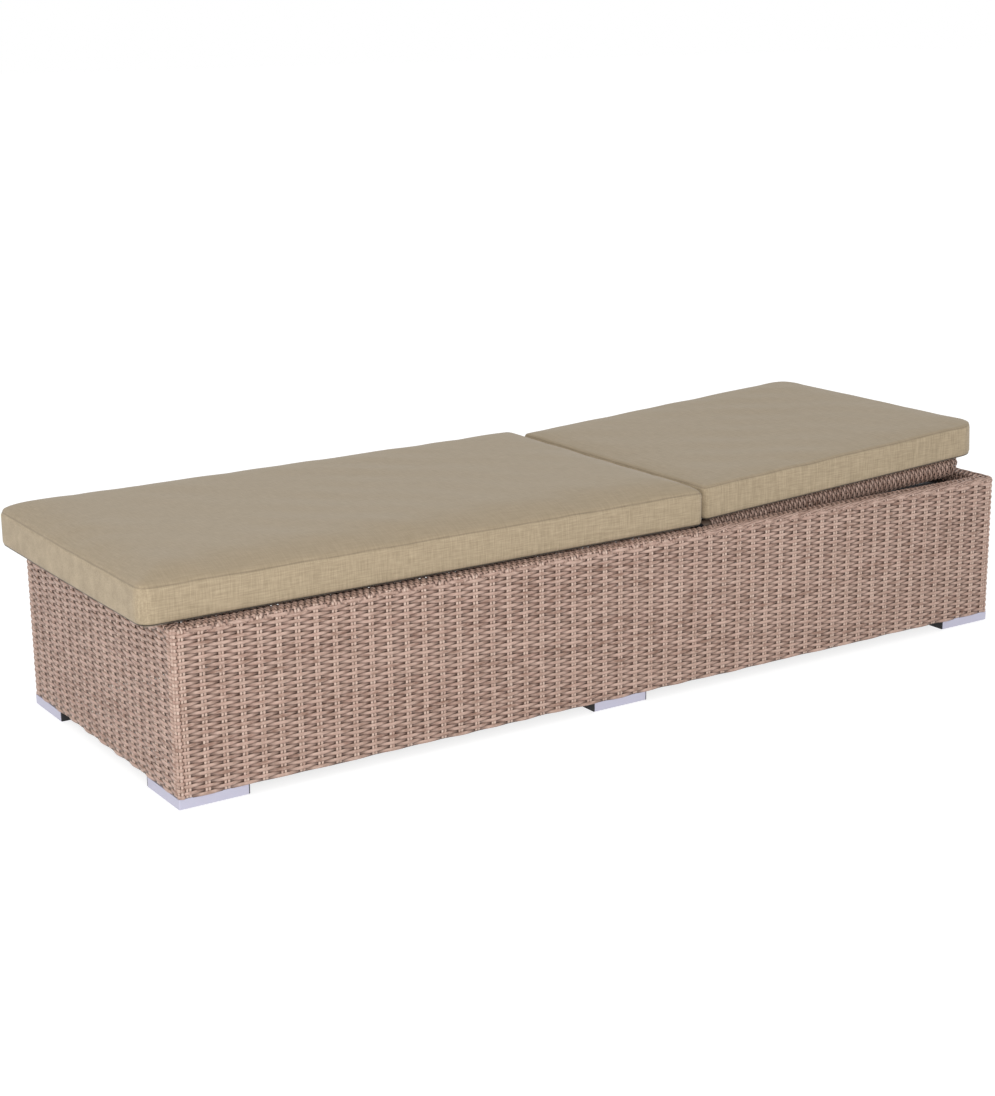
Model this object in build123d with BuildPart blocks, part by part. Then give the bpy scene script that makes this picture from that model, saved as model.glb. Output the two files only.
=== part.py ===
from build123d import *

import os
from math import cos, radians, sin

# Woven sun lounger: a low wicker box with a reclining back on toothed racks, and two loose pads.
# X runs from the foot end to the head end, Y across, Z up. The origin is on the floor, in the
# middle of the overall footprint. Left is the side at -Y. Lengths are in millimetres, angles in
# degrees.

# Box: overall length, width and height of the woven rim
box_length = 2000
box_width = 700
rim_height = 337
weave = 6
corner_radius = 12
rim_radius = 9

# Welded frame of square aluminium tube
rail = 25
head_rail_depth = 50
tube_wall = 1.5
tube_corner = 1
seat_bar_count = 3

# Feet: rectangular tube with plastic ends and glides
foot_depth = 40
foot_profile = 19
foot_wall = 2
foot_inset = 4
corner_foot_arm = 138
middle_foot_length = 130
middle_foot_place_share = 0.4825
foot_corner_break = 1
cap_plate = 2
cap_plug = 8
cap_clearance = 0.2
glide_height = 3
glide_radius = 7
glide_edge = 0.8
glide_stem_radius = 3
glide_end_distance = 18
foot_screw_radius = 2.5
foot_screw_head_radius = 4.5
foot_screw_head = 2.5
foot_screw_bite = 5
foot_screw_access_radius = 5.5
corner_screw_distance = 62
middle_screw_spacing = 50
small_round_sides = 8
glide_sides = 10
hexagon_sides = 6

# Hinge of the back: its place along the box, its drop below the rim, and the back's lowest angle
hinge_place_share = 0.596
hinge_drop = 11
rest_angle = 3
deck_gap = 23
hinge_crossbar_drop = 24
bracket_thickness = 5
pin_radius = 5
pin_head_radius = 8
pin_head = 3
pin_reach = 16
running_clearance = 0.05
side_gap = 0.3
bush_flange = 0.5
bush_length = 20

# Back frame of round tube, wrapped and filled with weave
back_tube_radius = 12.5
back_tube_wall = 2
back_side_gap = 5
back_end_gap = 4
back_bend_radius = 45
bend_steps = 3
wrap_bore_sides = 12
wrap_radius = 18
wrap_clearance = 0.1
wrap_start = 30
back_bar = 20
upper_bar_distance = 206

# Folding stay: two flat arms and a round foot bar that lies on the racks
stay_spacing = 370
stay_bar_distance = 98
stay_eye_reach = 40
arm_width = 18
arm_thickness = 6
arm_eye_radius = 12
foot_bar_radius = 8
foot_bar_overhang = 30
foot_bar_edge = 1
clevis_sheet = 3
clevis_side_gap = 0.5
clevis_radius = 10
stay_pin_radius = 4
stay_pin_head_radius = 6.5
stay_pin_head = 2
stay_pin_head_sides = 12

# Toothed racks outside the arms, with the back's angle at each notch
rack_offset = 15
rack_thickness = 6
rack_depth = 36
rack_tail_depth = 20
rack_clearance = 0.3
rack_stop = 10
rack_stop_height = 12
rack_margin = 30
notch_angles = (14, 26, 37.5, 49, 60)
notch_depth = 10
notch_ramp = 16

# Pads: laid a little towards the foot end and the right-hand side
pad_thickness = 74
pad_overhang = 37
pad_side_shift = 17
pad_gap = 5
pad_rest_clearance = 0.3
pad_corner_radius = 24
pad_edge_radius = 13
pad_end_bow = 8
pad_side_bow = 4
seat_crown = 12
back_crown = 7
back_pad_start = 3
edge_steps = 3
corner_steps = 3
crown_steps = 3
crown_reach_share = 0.4

# One overrun for all cuts that run past a face
overrun = 20

# Places worked out from the sizes above
foot_end = -(box_length - pad_overhang) / 2
head_end = foot_end + box_length
box_middle = foot_end + box_length / 2
foot_height = foot_profile + glide_height
rim = rail + 2 * weave
rail_top = rim_height - weave
rail_line = box_width / 2 - weave - rail / 2
rail_inside = box_width / 2 - weave - rail
hinge_x = foot_end + hinge_place_share * box_length
hinge_height = rim_height - hinge_drop
deck_end = hinge_x - deck_gap
back_tube_line = box_width / 2 - rim - back_side_gap - wrap_radius
hinge_tube_end = back_tube_line + back_tube_radius
bracket_inside = hinge_tube_end + bush_flange + side_gap
back_length = (head_end - rim - back_end_gap - hinge_x) / cos(radians(rest_angle))
head_tube_place = back_length - wrap_radius
bend_start = head_tube_place - back_bend_radius
rack_foot = hinge_x + rail / 2
rack_head = head_end - weave - rail
foot_bar_x = rack_head - stay_bar_distance
stay_length = (foot_bar_x - hinge_x) / 2 / cos(radians(rest_angle))
lower_bar_place = stay_length - stay_eye_reach
upper_bar_place = back_length - upper_bar_distance
rack_top = hinge_height - foot_bar_radius - rack_clearance
rack_spacing = stay_spacing + 2 * rack_offset
foot_bar_length = stay_spacing + 2 * foot_bar_overhang
pad_width = box_width - 2 * pad_side_shift
clevis_width = arm_thickness + 2 * clevis_side_gap + 2 * clevis_sheet

sides = (("left", -1), ("right", 1))
ends = (("foot", foot_end, 1), ("head", head_end, -1))


def finish(part, label):
    """Names one finished piece and writes it."""
    part.label = label
    export_step(part, f"parts/{label}.step")


def along(x, y, z):
    """Plane across the box's length, facing the head end."""
    return Plane(origin=(x, y, z), x_dir=(0, 1, 0), z_dir=(1, 0, 0))


def across(x, y, z):
    """Plane across the box's width, facing the right-hand side."""
    return Plane(origin=(x, y, z), x_dir=(1, 0, 0), z_dir=(0, 1, 0))


def upright(x, y, z):
    """Level plane, facing up."""
    return Plane(origin=(x, y, z))


def sideways(x, y, z):
    """Plane along the box with its own Y pointing up, facing the left-hand side."""
    return Plane(origin=(x, y, z), x_dir=(1, 0, 0), z_dir=(0, -1, 0))


# The back lies on its own plane, tilted about the hinge axis: u along it, v across, w above it
back_along = Vector(cos(radians(rest_angle)), 0, sin(radians(rest_angle)))
back_up = Vector(-sin(radians(rest_angle)), 0, cos(radians(rest_angle)))
back_face = Plane(origin=(hinge_x, 0, hinge_height), x_dir=back_along, z_dir=back_up)


def back_section(u, v, w):
    """Plane across the back's length."""
    return Plane(origin=back_face.from_local_coords(Vector(u, v, w)), x_dir=(0, 1, 0), z_dir=back_along)


def back_across(u, v, w):
    """Plane across the back's width, facing the right-hand side."""
    return Plane(origin=back_face.from_local_coords(Vector(u, v, w)), x_dir=back_along, z_dir=(0, 1, 0))


def back_sideways(u, v, w):
    """Plane along the back with its own Y pointing up from it, facing the left-hand side."""
    return Plane(origin=back_face.from_local_coords(Vector(u, v, w)), x_dir=back_along, z_dir=(0, -1, 0))


def square_tube(plane, length, depth=rail, width=rail, holes=()):
    """Square or rectangular tube that starts on the plane, with screw holes up through its lower wall."""
    with BuildPart() as tube:
        with BuildSketch(plane) as section:
            Rectangle(width, depth)
            chamfer(section.vertices(), tube_corner)
            Rectangle(width - 2 * tube_wall, depth - 2 * tube_wall, mode=Mode.SUBTRACT)
        extrude(amount=length)
        if holes:
            with BuildSketch(upright(0, 0, foot_height - tube_wall)):
                with Locations(*holes):
                    RegularPolygon(foot_screw_radius, small_round_sides)
            extrude(amount=3 * tube_wall, mode=Mode.SUBTRACT)
    return tube.part


os.makedirs("parts", exist_ok=True)

# Where the feet stand. Each corner foot has its origin at its outer corner and its axes along its arms
foot_line = box_width / 2 - foot_inset
foot_centre_line = foot_line - foot_depth / 2
middle_x = foot_end + middle_foot_place_share * box_length
corner_feet = (
    ("foot_left", foot_end + foot_inset, -foot_line, 0),
    ("head_left", head_end - foot_inset, -foot_line, 90),
    ("head_right", head_end - foot_inset, foot_line, 180),
    ("foot_right", foot_end + foot_inset, foot_line, 270),
)
screw_offset = weave + rail / 2 - foot_inset
glide_end = corner_foot_arm - glide_end_distance
corner_glides = [(foot_depth / 2, foot_depth / 2), (glide_end, foot_depth / 2), (foot_depth / 2, glide_end)]
corner_screws = [(corner_screw_distance, screw_offset), (screw_offset, corner_screw_distance)]


def corner_plane(x, y, turn, height):
    """Level plane at a corner foot's outer corner, turned along its arms."""
    return Plane(origin=(x, y, height), x_dir=(cos(radians(turn)), sin(radians(turn)), 0))


def on_floor(local_points):
    """The same places of every corner foot, in the lounger's own X and Y."""
    planes = [corner_plane(x, y, turn, 0) for name, x, y, turn in corner_feet]
    placed = [plane.from_local_coords(Vector(px, py, 0)) for plane in planes for px, py in local_points]
    return [(point.X, point.Y) for point in placed]


def middle_points(spacing, line, sign):
    """A pair of places on one middle foot."""
    return [(middle_x - spacing / 2, sign * line), (middle_x + spacing / 2, sign * line)]


middle_glide_spacing = middle_foot_length - 2 * glide_end_distance
glide_points = on_floor(corner_glides)
screw_points = on_floor(corner_screws)
for side, sign in sides:
    glide_points += middle_points(middle_glide_spacing, foot_centre_line, sign)
    screw_points += middle_points(middle_screw_spacing, rail_line, sign)

# Long rails of the frame, with the foot screws' holes in the bottom ones
rail_start = foot_end + weave
rail_run = box_length - 2 * weave
for side, sign in sides:
    line_y = sign * rail_line
    finish(square_tube(along(rail_start, line_y, rail_top - rail / 2), rail_run), f"top_rail_{side}")
    holes = [point for point in screw_points if abs(point[1] - line_y) < rail / 2]
    bottom = square_tube(along(rail_start, line_y, foot_height + rail / 2), rail_run, holes=holes)
    finish(bottom, f"bottom_rail_{side}")

# End rails between the long ones. The top one at the head is deep, because the racks end on it
for end, end_x, inward in ends:
    line_x = end_x + inward * (weave + rail / 2)
    depth = head_rail_depth if end == "head" else rail
    top = square_tube(across(line_x, -rail_inside, rail_top - depth / 2), 2 * rail_inside, depth)
    finish(top, f"top_rail_{end}")
    holes = [point for point in screw_points if abs(point[0] - line_x) < rail / 2]
    start = across(line_x, -rail_inside, foot_height + rail / 2)
    finish(square_tube(start, 2 * rail_inside, holes=holes), f"bottom_rail_{end}")

# Posts between the bottom and top rails: four at the corners and three along each side
post_foot = foot_height + rail
post_height = rail_top - rail - post_foot
posts = (
    ("corner_post_foot", foot_end + weave + rail / 2),
    ("side_post_seat", (foot_end + hinge_x) / 2),
    ("side_post_hinge", hinge_x),
    ("side_post_back", (hinge_x + head_end) / 2),
    ("corner_post_head", head_end - weave - rail / 2),
)
for post, post_x in posts:
    for side, sign in sides:
        finish(square_tube(upright(post_x, sign * rail_line, post_foot), post_height), f"{post}_{side}")

# Seat bars under the woven deck. The last one stands at the deck's end, inside its fold
first_line = foot_end + weave + rail / 2
last_line = deck_end - weave - rail / 2
for index in range(seat_bar_count):
    bar_x = first_line + (last_line - first_line) * (index + 1) / seat_bar_count
    bar = square_tube(across(bar_x, -rail_inside, rail_top - rail / 2), 2 * rail_inside)
    finish(bar, f"seat_bar_{index + 1}")

# Crossbar below the hinge, between the two hinge posts
crossbar_top = hinge_height - hinge_crossbar_drop
crossbar = square_tube(across(hinge_x, -rail_inside, crossbar_top - rail / 2), 2 * rail_inside)
finish(crossbar, "hinge_crossbar")


def woven_side(wedge):
    """The part of the woven skin over one wedge of the plan: wall, rim, and lip round the back's bay."""
    lip_outside = box_width - 2 * (rim - weave)
    bay_length = head_end - (rim - weave) - deck_end
    with BuildPart() as band:
        with BuildSketch(upright(box_middle, 0, foot_height)):
            RectangleRounded(box_length, box_width, corner_radius)
        extrude(amount=rim_height - foot_height)
        fillet(band.faces().sort_by(Axis.Z)[-1].edges(), rim_radius)
        with BuildSketch(upright(box_middle, 0, foot_height)):
            Rectangle(box_length - 2 * weave, box_width - 2 * weave)
        extrude(amount=rail_top - foot_height, mode=Mode.SUBTRACT)
        with BuildSketch(upright(box_middle, 0, rail_top)):
            Rectangle(box_length - 2 * rim, box_width - 2 * rim)
        extrude(amount=weave, mode=Mode.SUBTRACT)
        with BuildSketch(upright(deck_end + bay_length / 2, 0, rail_top - rail)):
            Rectangle(bay_length, lip_outside)
            with Locations((-weave / 2, 0)):
                Rectangle(bay_length - weave, lip_outside - 2 * weave, mode=Mode.SUBTRACT)
        extrude(amount=rail)
        with BuildSketch(Plane.XY):
            Polygon(*wedge, align=None)
        extrude(amount=rim_height, mode=Mode.INTERSECT)
    return band.part


left_foot = (foot_end, -box_width / 2)
left_head = (head_end, -box_width / 2)
right_head = (head_end, box_width / 2)
right_foot = (foot_end, box_width / 2)
foot_peak = (foot_end + box_width / 2, 0)
head_peak = (head_end - box_width / 2, 0)
finish(woven_side((left_foot, left_head, head_peak, foot_peak)), "weave_left")
finish(woven_side((right_head, right_foot, foot_peak, head_peak)), "weave_right")
finish(woven_side((right_foot, left_foot, foot_peak)), "weave_foot")
finish(woven_side((left_head, right_head, head_peak)), "weave_head")

# Woven deck of the seat, folded down over its last bar
deck_start = foot_end + rim
with BuildPart() as weave_deck:
    with BuildSketch(upright((deck_start + deck_end) / 2, 0, rail_top)):
        Rectangle(deck_end - deck_start, box_width - 2 * rim)
    extrude(amount=weave)
    with BuildSketch(upright(deck_end - weave / 2, 0, rail_top - rail)):
        Rectangle(weave, 2 * rail_inside)
    extrude(amount=rail)
finish(weave_deck.part, "weave_deck")


def foot_holes(plane, glides, screws):
    """Cutter for the glides' stems, the screws, and wider holes below to reach the screws."""
    with BuildPart() as cutter:
        with BuildSketch(plane):
            with Locations(*glides):
                RegularPolygon(glide_stem_radius, small_round_sides)
            with Locations(*screws):
                RegularPolygon(foot_screw_access_radius, small_round_sides)
        extrude(amount=foot_wall)
        with BuildSketch(plane.offset(foot_profile - foot_wall)):
            with Locations(*screws):
                RegularPolygon(foot_screw_radius, small_round_sides)
        extrude(amount=foot_wall)
    return cutter.part


def elbow(arm, outside, inside):
    """L-shaped outline between two distances from a corner foot's outer faces."""
    return [(outside, outside), (arm, outside), (arm, inside), (inside, inside), (inside, arm), (outside, arm)]


# Corner feet: a hollow L, mitred at the corner and open at both ends
arm_metal = corner_foot_arm - cap_plate
cap_planes = []
for name, x, y, turn in corner_feet:
    foot_plane = corner_plane(x, y, turn, glide_height)
    holes = foot_holes(foot_plane, corner_glides, corner_screws)
    with BuildPart() as corner_foot:
        with BuildSketch(foot_plane) as outline:
            Polygon(*elbow(arm_metal, 0, foot_depth), align=None)
            fillet(outline.vertices().sort_by_distance((0, 0, 0))[0], foot_wall)
        extrude(amount=foot_profile)
        with BuildSketch(foot_plane.offset(foot_wall)):
            Polygon(*elbow(arm_metal, foot_wall, foot_depth - foot_wall), align=None)
        extrude(amount=foot_profile - 2 * foot_wall, mode=Mode.SUBTRACT)
        add(holes, mode=Mode.SUBTRACT)
    finish(corner_foot.part, f"corner_foot_{name}")
    for place, facing in (((arm_metal, foot_depth / 2), (1, 0)), ((foot_depth / 2, arm_metal), (0, 1))):
        middle = foot_plane.from_local_coords(Vector(*place, foot_profile / 2))
        outward = foot_plane.from_local_coords(Vector(*facing, 0)) - foot_plane.origin
        cap_planes.append(Plane(origin=middle, x_dir=outward.cross(Vector(0, 0, 1)), z_dir=outward))

# Middle feet: one straight length of the same tube under each side
middle_metal = middle_foot_length - 2 * cap_plate
foot_mid_height = glide_height + foot_profile / 2
for side, sign in sides:
    line_y = sign * foot_centre_line
    glides = middle_points(middle_glide_spacing, foot_centre_line, sign)
    screws = middle_points(middle_screw_spacing, rail_line, sign)
    holes = foot_holes(upright(0, 0, glide_height), glides, screws)
    with BuildPart() as middle_foot:
        with BuildSketch(along(middle_x - middle_metal / 2, line_y, foot_mid_height)) as section:
            Rectangle(foot_depth, foot_profile)
            chamfer(section.vertices(), foot_corner_break)
            Rectangle(foot_depth - 2 * foot_wall, foot_profile - 2 * foot_wall, mode=Mode.SUBTRACT)
        extrude(amount=middle_metal)
        add(holes, mode=Mode.SUBTRACT)
    finish(middle_foot.part, f"middle_foot_{side}")
    for facing in (-1, 1):
        end_place = (middle_x + facing * middle_metal / 2, line_y, foot_mid_height)
        cap_planes.append(Plane(origin=end_place, x_dir=(0, facing, 0), z_dir=(facing, 0, 0)))

# Plastic caps pushed into the feet's open ends
with BuildPart() as foot_end_caps:
    for cap_plane in cap_planes:
        with BuildSketch(cap_plane) as section:
            Rectangle(foot_depth, foot_profile)
            chamfer(section.vertices(), foot_corner_break)
        extrude(amount=cap_plate)
        plug_loss = 2 * (foot_wall + cap_clearance)
        with BuildSketch(cap_plane):
            Rectangle(foot_depth - plug_loss, foot_profile - plug_loss)
        extrude(amount=-cap_plug)
finish(foot_end_caps.part, "foot_end_caps")

# Plastic glides under the feet, each with a stem pressed up into the foot
stem_radius = glide_stem_radius - running_clearance
with BuildPart() as foot_glides:
    with BuildSketch(Plane.XY):
        with Locations(*glide_points):
            RegularPolygon(glide_radius, glide_sides)
    extrude(amount=glide_height)
    chamfer(foot_glides.edges().group_by(Axis.Z)[0], glide_edge)
    with BuildSketch(Plane.XY.offset(glide_height)):
        with Locations(*glide_points):
            RegularPolygon(stem_radius, small_round_sides)
    extrude(amount=foot_wall)
finish(foot_glides.part, "foot_glides")

# Hexagon-head screws up through the feet's top wall into the bottom rails
foot_seat = foot_height - foot_wall
shank_radius = foot_screw_radius - running_clearance
with BuildPart() as foot_screws:
    with BuildSketch(Plane.XY.offset(foot_seat - foot_screw_head)):
        with Locations(*screw_points):
            RegularPolygon(foot_screw_head_radius, hexagon_sides)
    extrude(amount=foot_screw_head)
    with BuildSketch(Plane.XY.offset(foot_seat)):
        with Locations(*screw_points):
            RegularPolygon(shank_radius, small_round_sides)
    extrude(amount=foot_wall + tube_wall + foot_screw_bite)
finish(foot_screws.part, "foot_screws")

# Hinge brackets: rounded lugs that stand on the hinge crossbar
for side, sign in sides:
    with BuildPart() as hinge_bracket:
        with BuildSketch(sideways(hinge_x, sign * bracket_inside, hinge_height)):
            Circle(rail / 2)
            with Locations((0, -hinge_crossbar_drop / 2)):
                Rectangle(rail, hinge_crossbar_drop)
            Circle(pin_radius + running_clearance, mode=Mode.SUBTRACT)
        extrude(amount=-sign * bracket_thickness)
    finish(hinge_bracket.part, f"hinge_bracket_{side}")

# Hexagon-head hinge pins through the brackets into the bushes of the back's hinge tube
bracket_outside = bracket_inside + bracket_thickness
with BuildPart() as hinge_pins:
    for side, sign in sides:
        with BuildSketch(sideways(hinge_x, sign * bracket_outside, hinge_height)):
            RegularPolygon(pin_head_radius, hexagon_sides)
        extrude(amount=-sign * pin_head)
        with BuildSketch(sideways(hinge_x, sign * bracket_outside, hinge_height)):
            Circle(pin_radius)
        extrude(amount=sign * (bracket_outside - hinge_tube_end + pin_reach))
finish(hinge_pins.part, "hinge_pins")

# Bushes pressed into the ends of the hinge tube
hinge_tube_bore = back_tube_radius - back_tube_wall
with BuildPart() as hinge_bushes:
    for side, sign in sides:
        with BuildSketch(sideways(hinge_x, sign * hinge_tube_end, hinge_height)):
            Circle(back_tube_radius)
            Circle(pin_radius + running_clearance, mode=Mode.SUBTRACT)
        extrude(amount=-sign * bush_flange)
        with BuildSketch(sideways(hinge_x, sign * hinge_tube_end, hinge_height)):
            Circle(hinge_tube_bore - running_clearance)
            Circle(pin_radius + running_clearance, mode=Mode.SUBTRACT)
        extrude(amount=sign * bush_length)
finish(hinge_bushes.part, "hinge_bushes")

# Hinge tube: the back frame's lowest tube, on the hinge axis
with BuildPart() as hinge_tube:
    with BuildSketch(across(hinge_x, -hinge_tube_end, hinge_height)):
        Circle(back_tube_radius)
        Circle(hinge_tube_bore, mode=Mode.SUBTRACT)
    extrude(amount=2 * hinge_tube_end)
finish(hinge_tube.part, "back_tube_hinge")


def back_run(sign, start):
    """Line of one side of the back frame from u = start, turned in even mitres to the head tube."""
    mitre = 90 / bend_steps
    reach = back_bend_radius / cos(radians(mitre / 2))
    points = [(start, back_tube_line)]
    for step in range(bend_steps):
        turn = radians((step + 1 / 2) * mitre)
        points.append((bend_start + reach * sin(turn), back_tube_line - back_bend_radius + reach * cos(turn)))
    points.append((head_tube_place, back_tube_line - back_bend_radius))
    Polyline(*[(u, sign * v) for u, v in points])


# Side tubes of the back, coped to the hinge tube and bent in towards the head tube
for side, sign in sides:
    with BuildPart() as side_tube:
        with BuildLine(back_face):
            back_run(sign, 0)
        with BuildSketch(back_section(0, sign * back_tube_line, 0)):
            Circle(back_tube_radius)
            Circle(hinge_tube_bore, mode=Mode.SUBTRACT)
        sweep(transition=Transition.RIGHT)
        with BuildSketch(across(hinge_x, -hinge_tube_end, hinge_height)):
            Circle(back_tube_radius)
        extrude(amount=2 * hinge_tube_end, mode=Mode.SUBTRACT)
    finish(side_tube.part, f"back_tube_{side}")

# Head tube between the bends
head_tube_reach = back_tube_line - back_bend_radius
with BuildPart() as head_tube:
    with BuildSketch(back_across(head_tube_place, -head_tube_reach, 0)):
        Circle(back_tube_radius)
        Circle(hinge_tube_bore, mode=Mode.SUBTRACT)
    extrude(amount=2 * head_tube_reach)
finish(head_tube.part, "back_tube_head")

# Crossbars of the back, level with the tops of the tubes and coped to the side tubes
bar_rise = back_tube_radius - back_bar / 2
for name, place in (("lower", lower_bar_place), ("upper", upper_bar_place)):
    with BuildPart() as crossbar:
        with BuildSketch(back_across(place, -back_tube_line, bar_rise)):
            RectangleRounded(back_bar, back_bar, tube_corner)
            Rectangle(back_bar - 2 * tube_wall, back_bar - 2 * tube_wall, mode=Mode.SUBTRACT)
        extrude(amount=2 * back_tube_line)
        with BuildSketch(back_section(place - overrun, 0, 0)):
            with Locations((-back_tube_line, 0), (back_tube_line, 0)):
                Circle(back_tube_radius)
        extrude(amount=2 * overrun, mode=Mode.SUBTRACT)
    finish(crossbar.part, f"back_bar_{name}")

# Woven wrapping round the side tubes, left open where the crossbars meet them
wrap_bore = back_tube_radius + wrap_clearance
notch_side = back_bar + 2 * wrap_clearance
for side, sign in sides:
    with BuildPart() as side_wrap:
        with BuildLine(back_face):
            back_run(sign, wrap_start)
        with BuildSketch(back_section(wrap_start, sign * back_tube_line, 0)):
            Circle(wrap_radius)
            RegularPolygon(wrap_bore, wrap_bore_sides, major_radius=False, mode=Mode.SUBTRACT)
        sweep(transition=Transition.RIGHT)
        for place in (lower_bar_place, upper_bar_place):
            with BuildSketch(back_section(place - notch_side / 2, sign * back_tube_line, bar_rise)):
                with Locations((-sign * wrap_radius / 2, 0)):
                    Rectangle(wrap_radius + 2 * wrap_clearance, notch_side)
            extrude(amount=notch_side, mode=Mode.SUBTRACT)
    finish(side_wrap.part, f"back_wrap_{side}")

with BuildPart() as head_wrap:
    with BuildSketch(back_across(head_tube_place, -head_tube_reach, 0)):
        Circle(wrap_radius)
        RegularPolygon(wrap_bore, wrap_bore_sides, major_radius=False, mode=Mode.SUBTRACT)
    extrude(amount=2 * head_tube_reach)
finish(head_wrap.part, "back_wrap_head")

# Woven mat across the tops of the tubes, between the wrappings and as long as they are
with BuildPart() as back_mat:
    with BuildSketch(back_face.offset(back_tube_radius + wrap_clearance)) as mat_outline:
        with Locations(((wrap_start + head_tube_place) / 2, 0)):
            Rectangle(head_tube_place - wrap_start, 2 * back_tube_line)
        fillet(mat_outline.vertices().group_by(Axis.X)[-1], back_bend_radius)
    extrude(amount=wrap_radius - back_tube_radius - wrap_clearance)
    for side, sign in sides:
        with BuildLine(back_face):
            back_run(sign, -overrun)
        with BuildSketch(back_section(-overrun, sign * back_tube_line, 0)):
            Circle(wrap_radius + wrap_clearance)
        sweep(transition=Transition.RIGHT, mode=Mode.SUBTRACT)
    with BuildSketch(back_across(head_tube_place, -head_tube_reach, 0)):
        Circle(wrap_radius + wrap_clearance)
    extrude(amount=2 * head_tube_reach, mode=Mode.SUBTRACT)
finish(back_mat.part, "back_mat")

# Clevises of bent sheet on the lower crossbar, which hold the stay's arms
clevis_back = lower_bar_place + back_bar / 2
clevis_slot = stay_length + 2 * clevis_radius - clevis_back - clevis_sheet
for side, sign in sides:
    middle_v = sign * stay_spacing / 2
    with BuildPart() as clevis:
        with BuildSketch(back_sideways(0, middle_v, 0)):
            with Locations(((clevis_back + stay_length) / 2, 0)):
                Rectangle(stay_length - clevis_back, 2 * clevis_radius)
            with Locations((stay_length, 0)):
                Circle(clevis_radius)
                Circle(stay_pin_radius + running_clearance, mode=Mode.SUBTRACT)
        extrude(amount=clevis_width / 2, both=True)
        with BuildSketch(back_sideways(0, middle_v, 0)):
            with Locations((clevis_back + clevis_sheet + clevis_slot / 2, 0)):
                Rectangle(clevis_slot, 2 * clevis_radius + overrun)
        extrude(amount=clevis_width / 2 - clevis_sheet, both=True, mode=Mode.SUBTRACT)
    finish(clevis.part, f"stay_clevis_{side}")

# Rivets through the clevises and the arms' upper eyes
with BuildPart() as stay_pins:
    for side, sign in sides:
        start_v = sign * stay_spacing / 2 - clevis_width / 2
        with BuildSketch(back_across(stay_length, start_v, 0)):
            Circle(stay_pin_radius)
        extrude(amount=clevis_width)
        with BuildSketch(back_across(stay_length, start_v - stay_pin_head, 0)):
            RegularPolygon(stay_pin_head_radius, stay_pin_head_sides)
        extrude(amount=stay_pin_head)
        with BuildSketch(back_across(stay_length, start_v + clevis_width, 0)):
            RegularPolygon(stay_pin_head_radius, stay_pin_head_sides)
        extrude(amount=stay_pin_head)
finish(stay_pins.part, "stay_pins")

# Arms of the stay: flat bars from the rivets down to the foot bar
arm_along = Vector(cos(radians(rest_angle)), 0, -sin(radians(rest_angle)))
for side, sign in sides:
    eye = back_face.from_local_coords(Vector(stay_length, sign * stay_spacing / 2, 0))
    with BuildPart() as arm:
        with BuildSketch(Plane(origin=eye, x_dir=arm_along, z_dir=(0, -1, 0))):
            with Locations((stay_length / 2, 0)):
                SlotCenterToCenter(stay_length, arm_width)
            with Locations((stay_length, 0)):
                Circle(arm_eye_radius)
                Circle(foot_bar_radius + running_clearance, mode=Mode.SUBTRACT)
            Circle(stay_pin_radius + running_clearance, mode=Mode.SUBTRACT)
        extrude(amount=arm_thickness / 2, both=True)
    finish(arm.part, f"stay_arm_{side}")

# Foot bar, level with the hinge axis at every angle, because the arms are as long as the eyes are far up
with BuildPart() as foot_bar:
    with BuildSketch(across(foot_bar_x, -foot_bar_length / 2, hinge_height)):
        Circle(foot_bar_radius)
    extrude(amount=foot_bar_length)
    chamfer(foot_bar.edges().filter_by(GeomType.CIRCLE), foot_bar_edge)
finish(foot_bar.part, "stay_foot_bar")

# Racks: toothed flat bars from the hinge crossbar to the head rail
rack_bottom = rack_top - rack_depth
tail_top = rack_bottom + rack_tail_depth
stop_x = foot_bar_x + foot_bar_radius + rack_clearance
notch_radius = foot_bar_radius + rack_clearance
teeth_start = hinge_x + 2 * stay_length * cos(radians(notch_angles[-1])) - rack_margin
rack_outline = (
    (rack_foot, rack_bottom),
    (rack_head, rack_bottom),
    (rack_head, tail_top),
    (stop_x + rack_stop + rack_stop_height, tail_top),
    (stop_x + rack_stop, rack_top + rack_stop_height),
    (stop_x, rack_top + rack_stop_height),
    (stop_x, rack_top),
    (teeth_start, rack_top),
    (teeth_start - rack_depth + rack_tail_depth, tail_top),
    (rack_foot, tail_top),
)
for side, sign in sides:
    with BuildPart() as rack:
        with BuildSketch(sideways(0, sign * rack_spacing / 2, 0)):
            Polygon(*rack_outline, align=None)
            for angle in notch_angles:
                notch_x = hinge_x + 2 * stay_length * cos(radians(angle))
                notch_z = rack_top - notch_depth + notch_radius
                with Locations((notch_x, notch_z)):
                    Circle(notch_radius, mode=Mode.SUBTRACT)
                mouth = (
                    (notch_x + notch_radius, notch_z),
                    (notch_x + notch_radius, rack_top + rack_clearance),
                    (notch_x - notch_radius - notch_ramp, rack_top + rack_clearance),
                    (notch_x - notch_radius, notch_z),
                )
                Polygon(*mouth, align=None, mode=Mode.SUBTRACT)
        extrude(amount=rack_thickness / 2, both=True)
    finish(rack.part, f"rack_{side}")


def pad_levels(crown):
    """Pairs of inset and height: up round the lower edge, the side, the upper edge and the crown."""
    levels = []
    for step in range(edge_steps + 1):
        turn = radians(90 * step / edge_steps)
        levels.append((pad_edge_radius * (1 - sin(turn)), pad_edge_radius * (1 - cos(turn))))
    levels += [(inset, pad_thickness - height) for inset, height in reversed(levels)]
    for step in range(1, crown_steps + 1):
        share = step / crown_steps
        inset = pad_edge_radius + share * crown_reach_share * pad_width
        levels.append((inset, pad_thickness + crown * (1 - (1 - share) ** 2)))
    return levels


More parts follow.
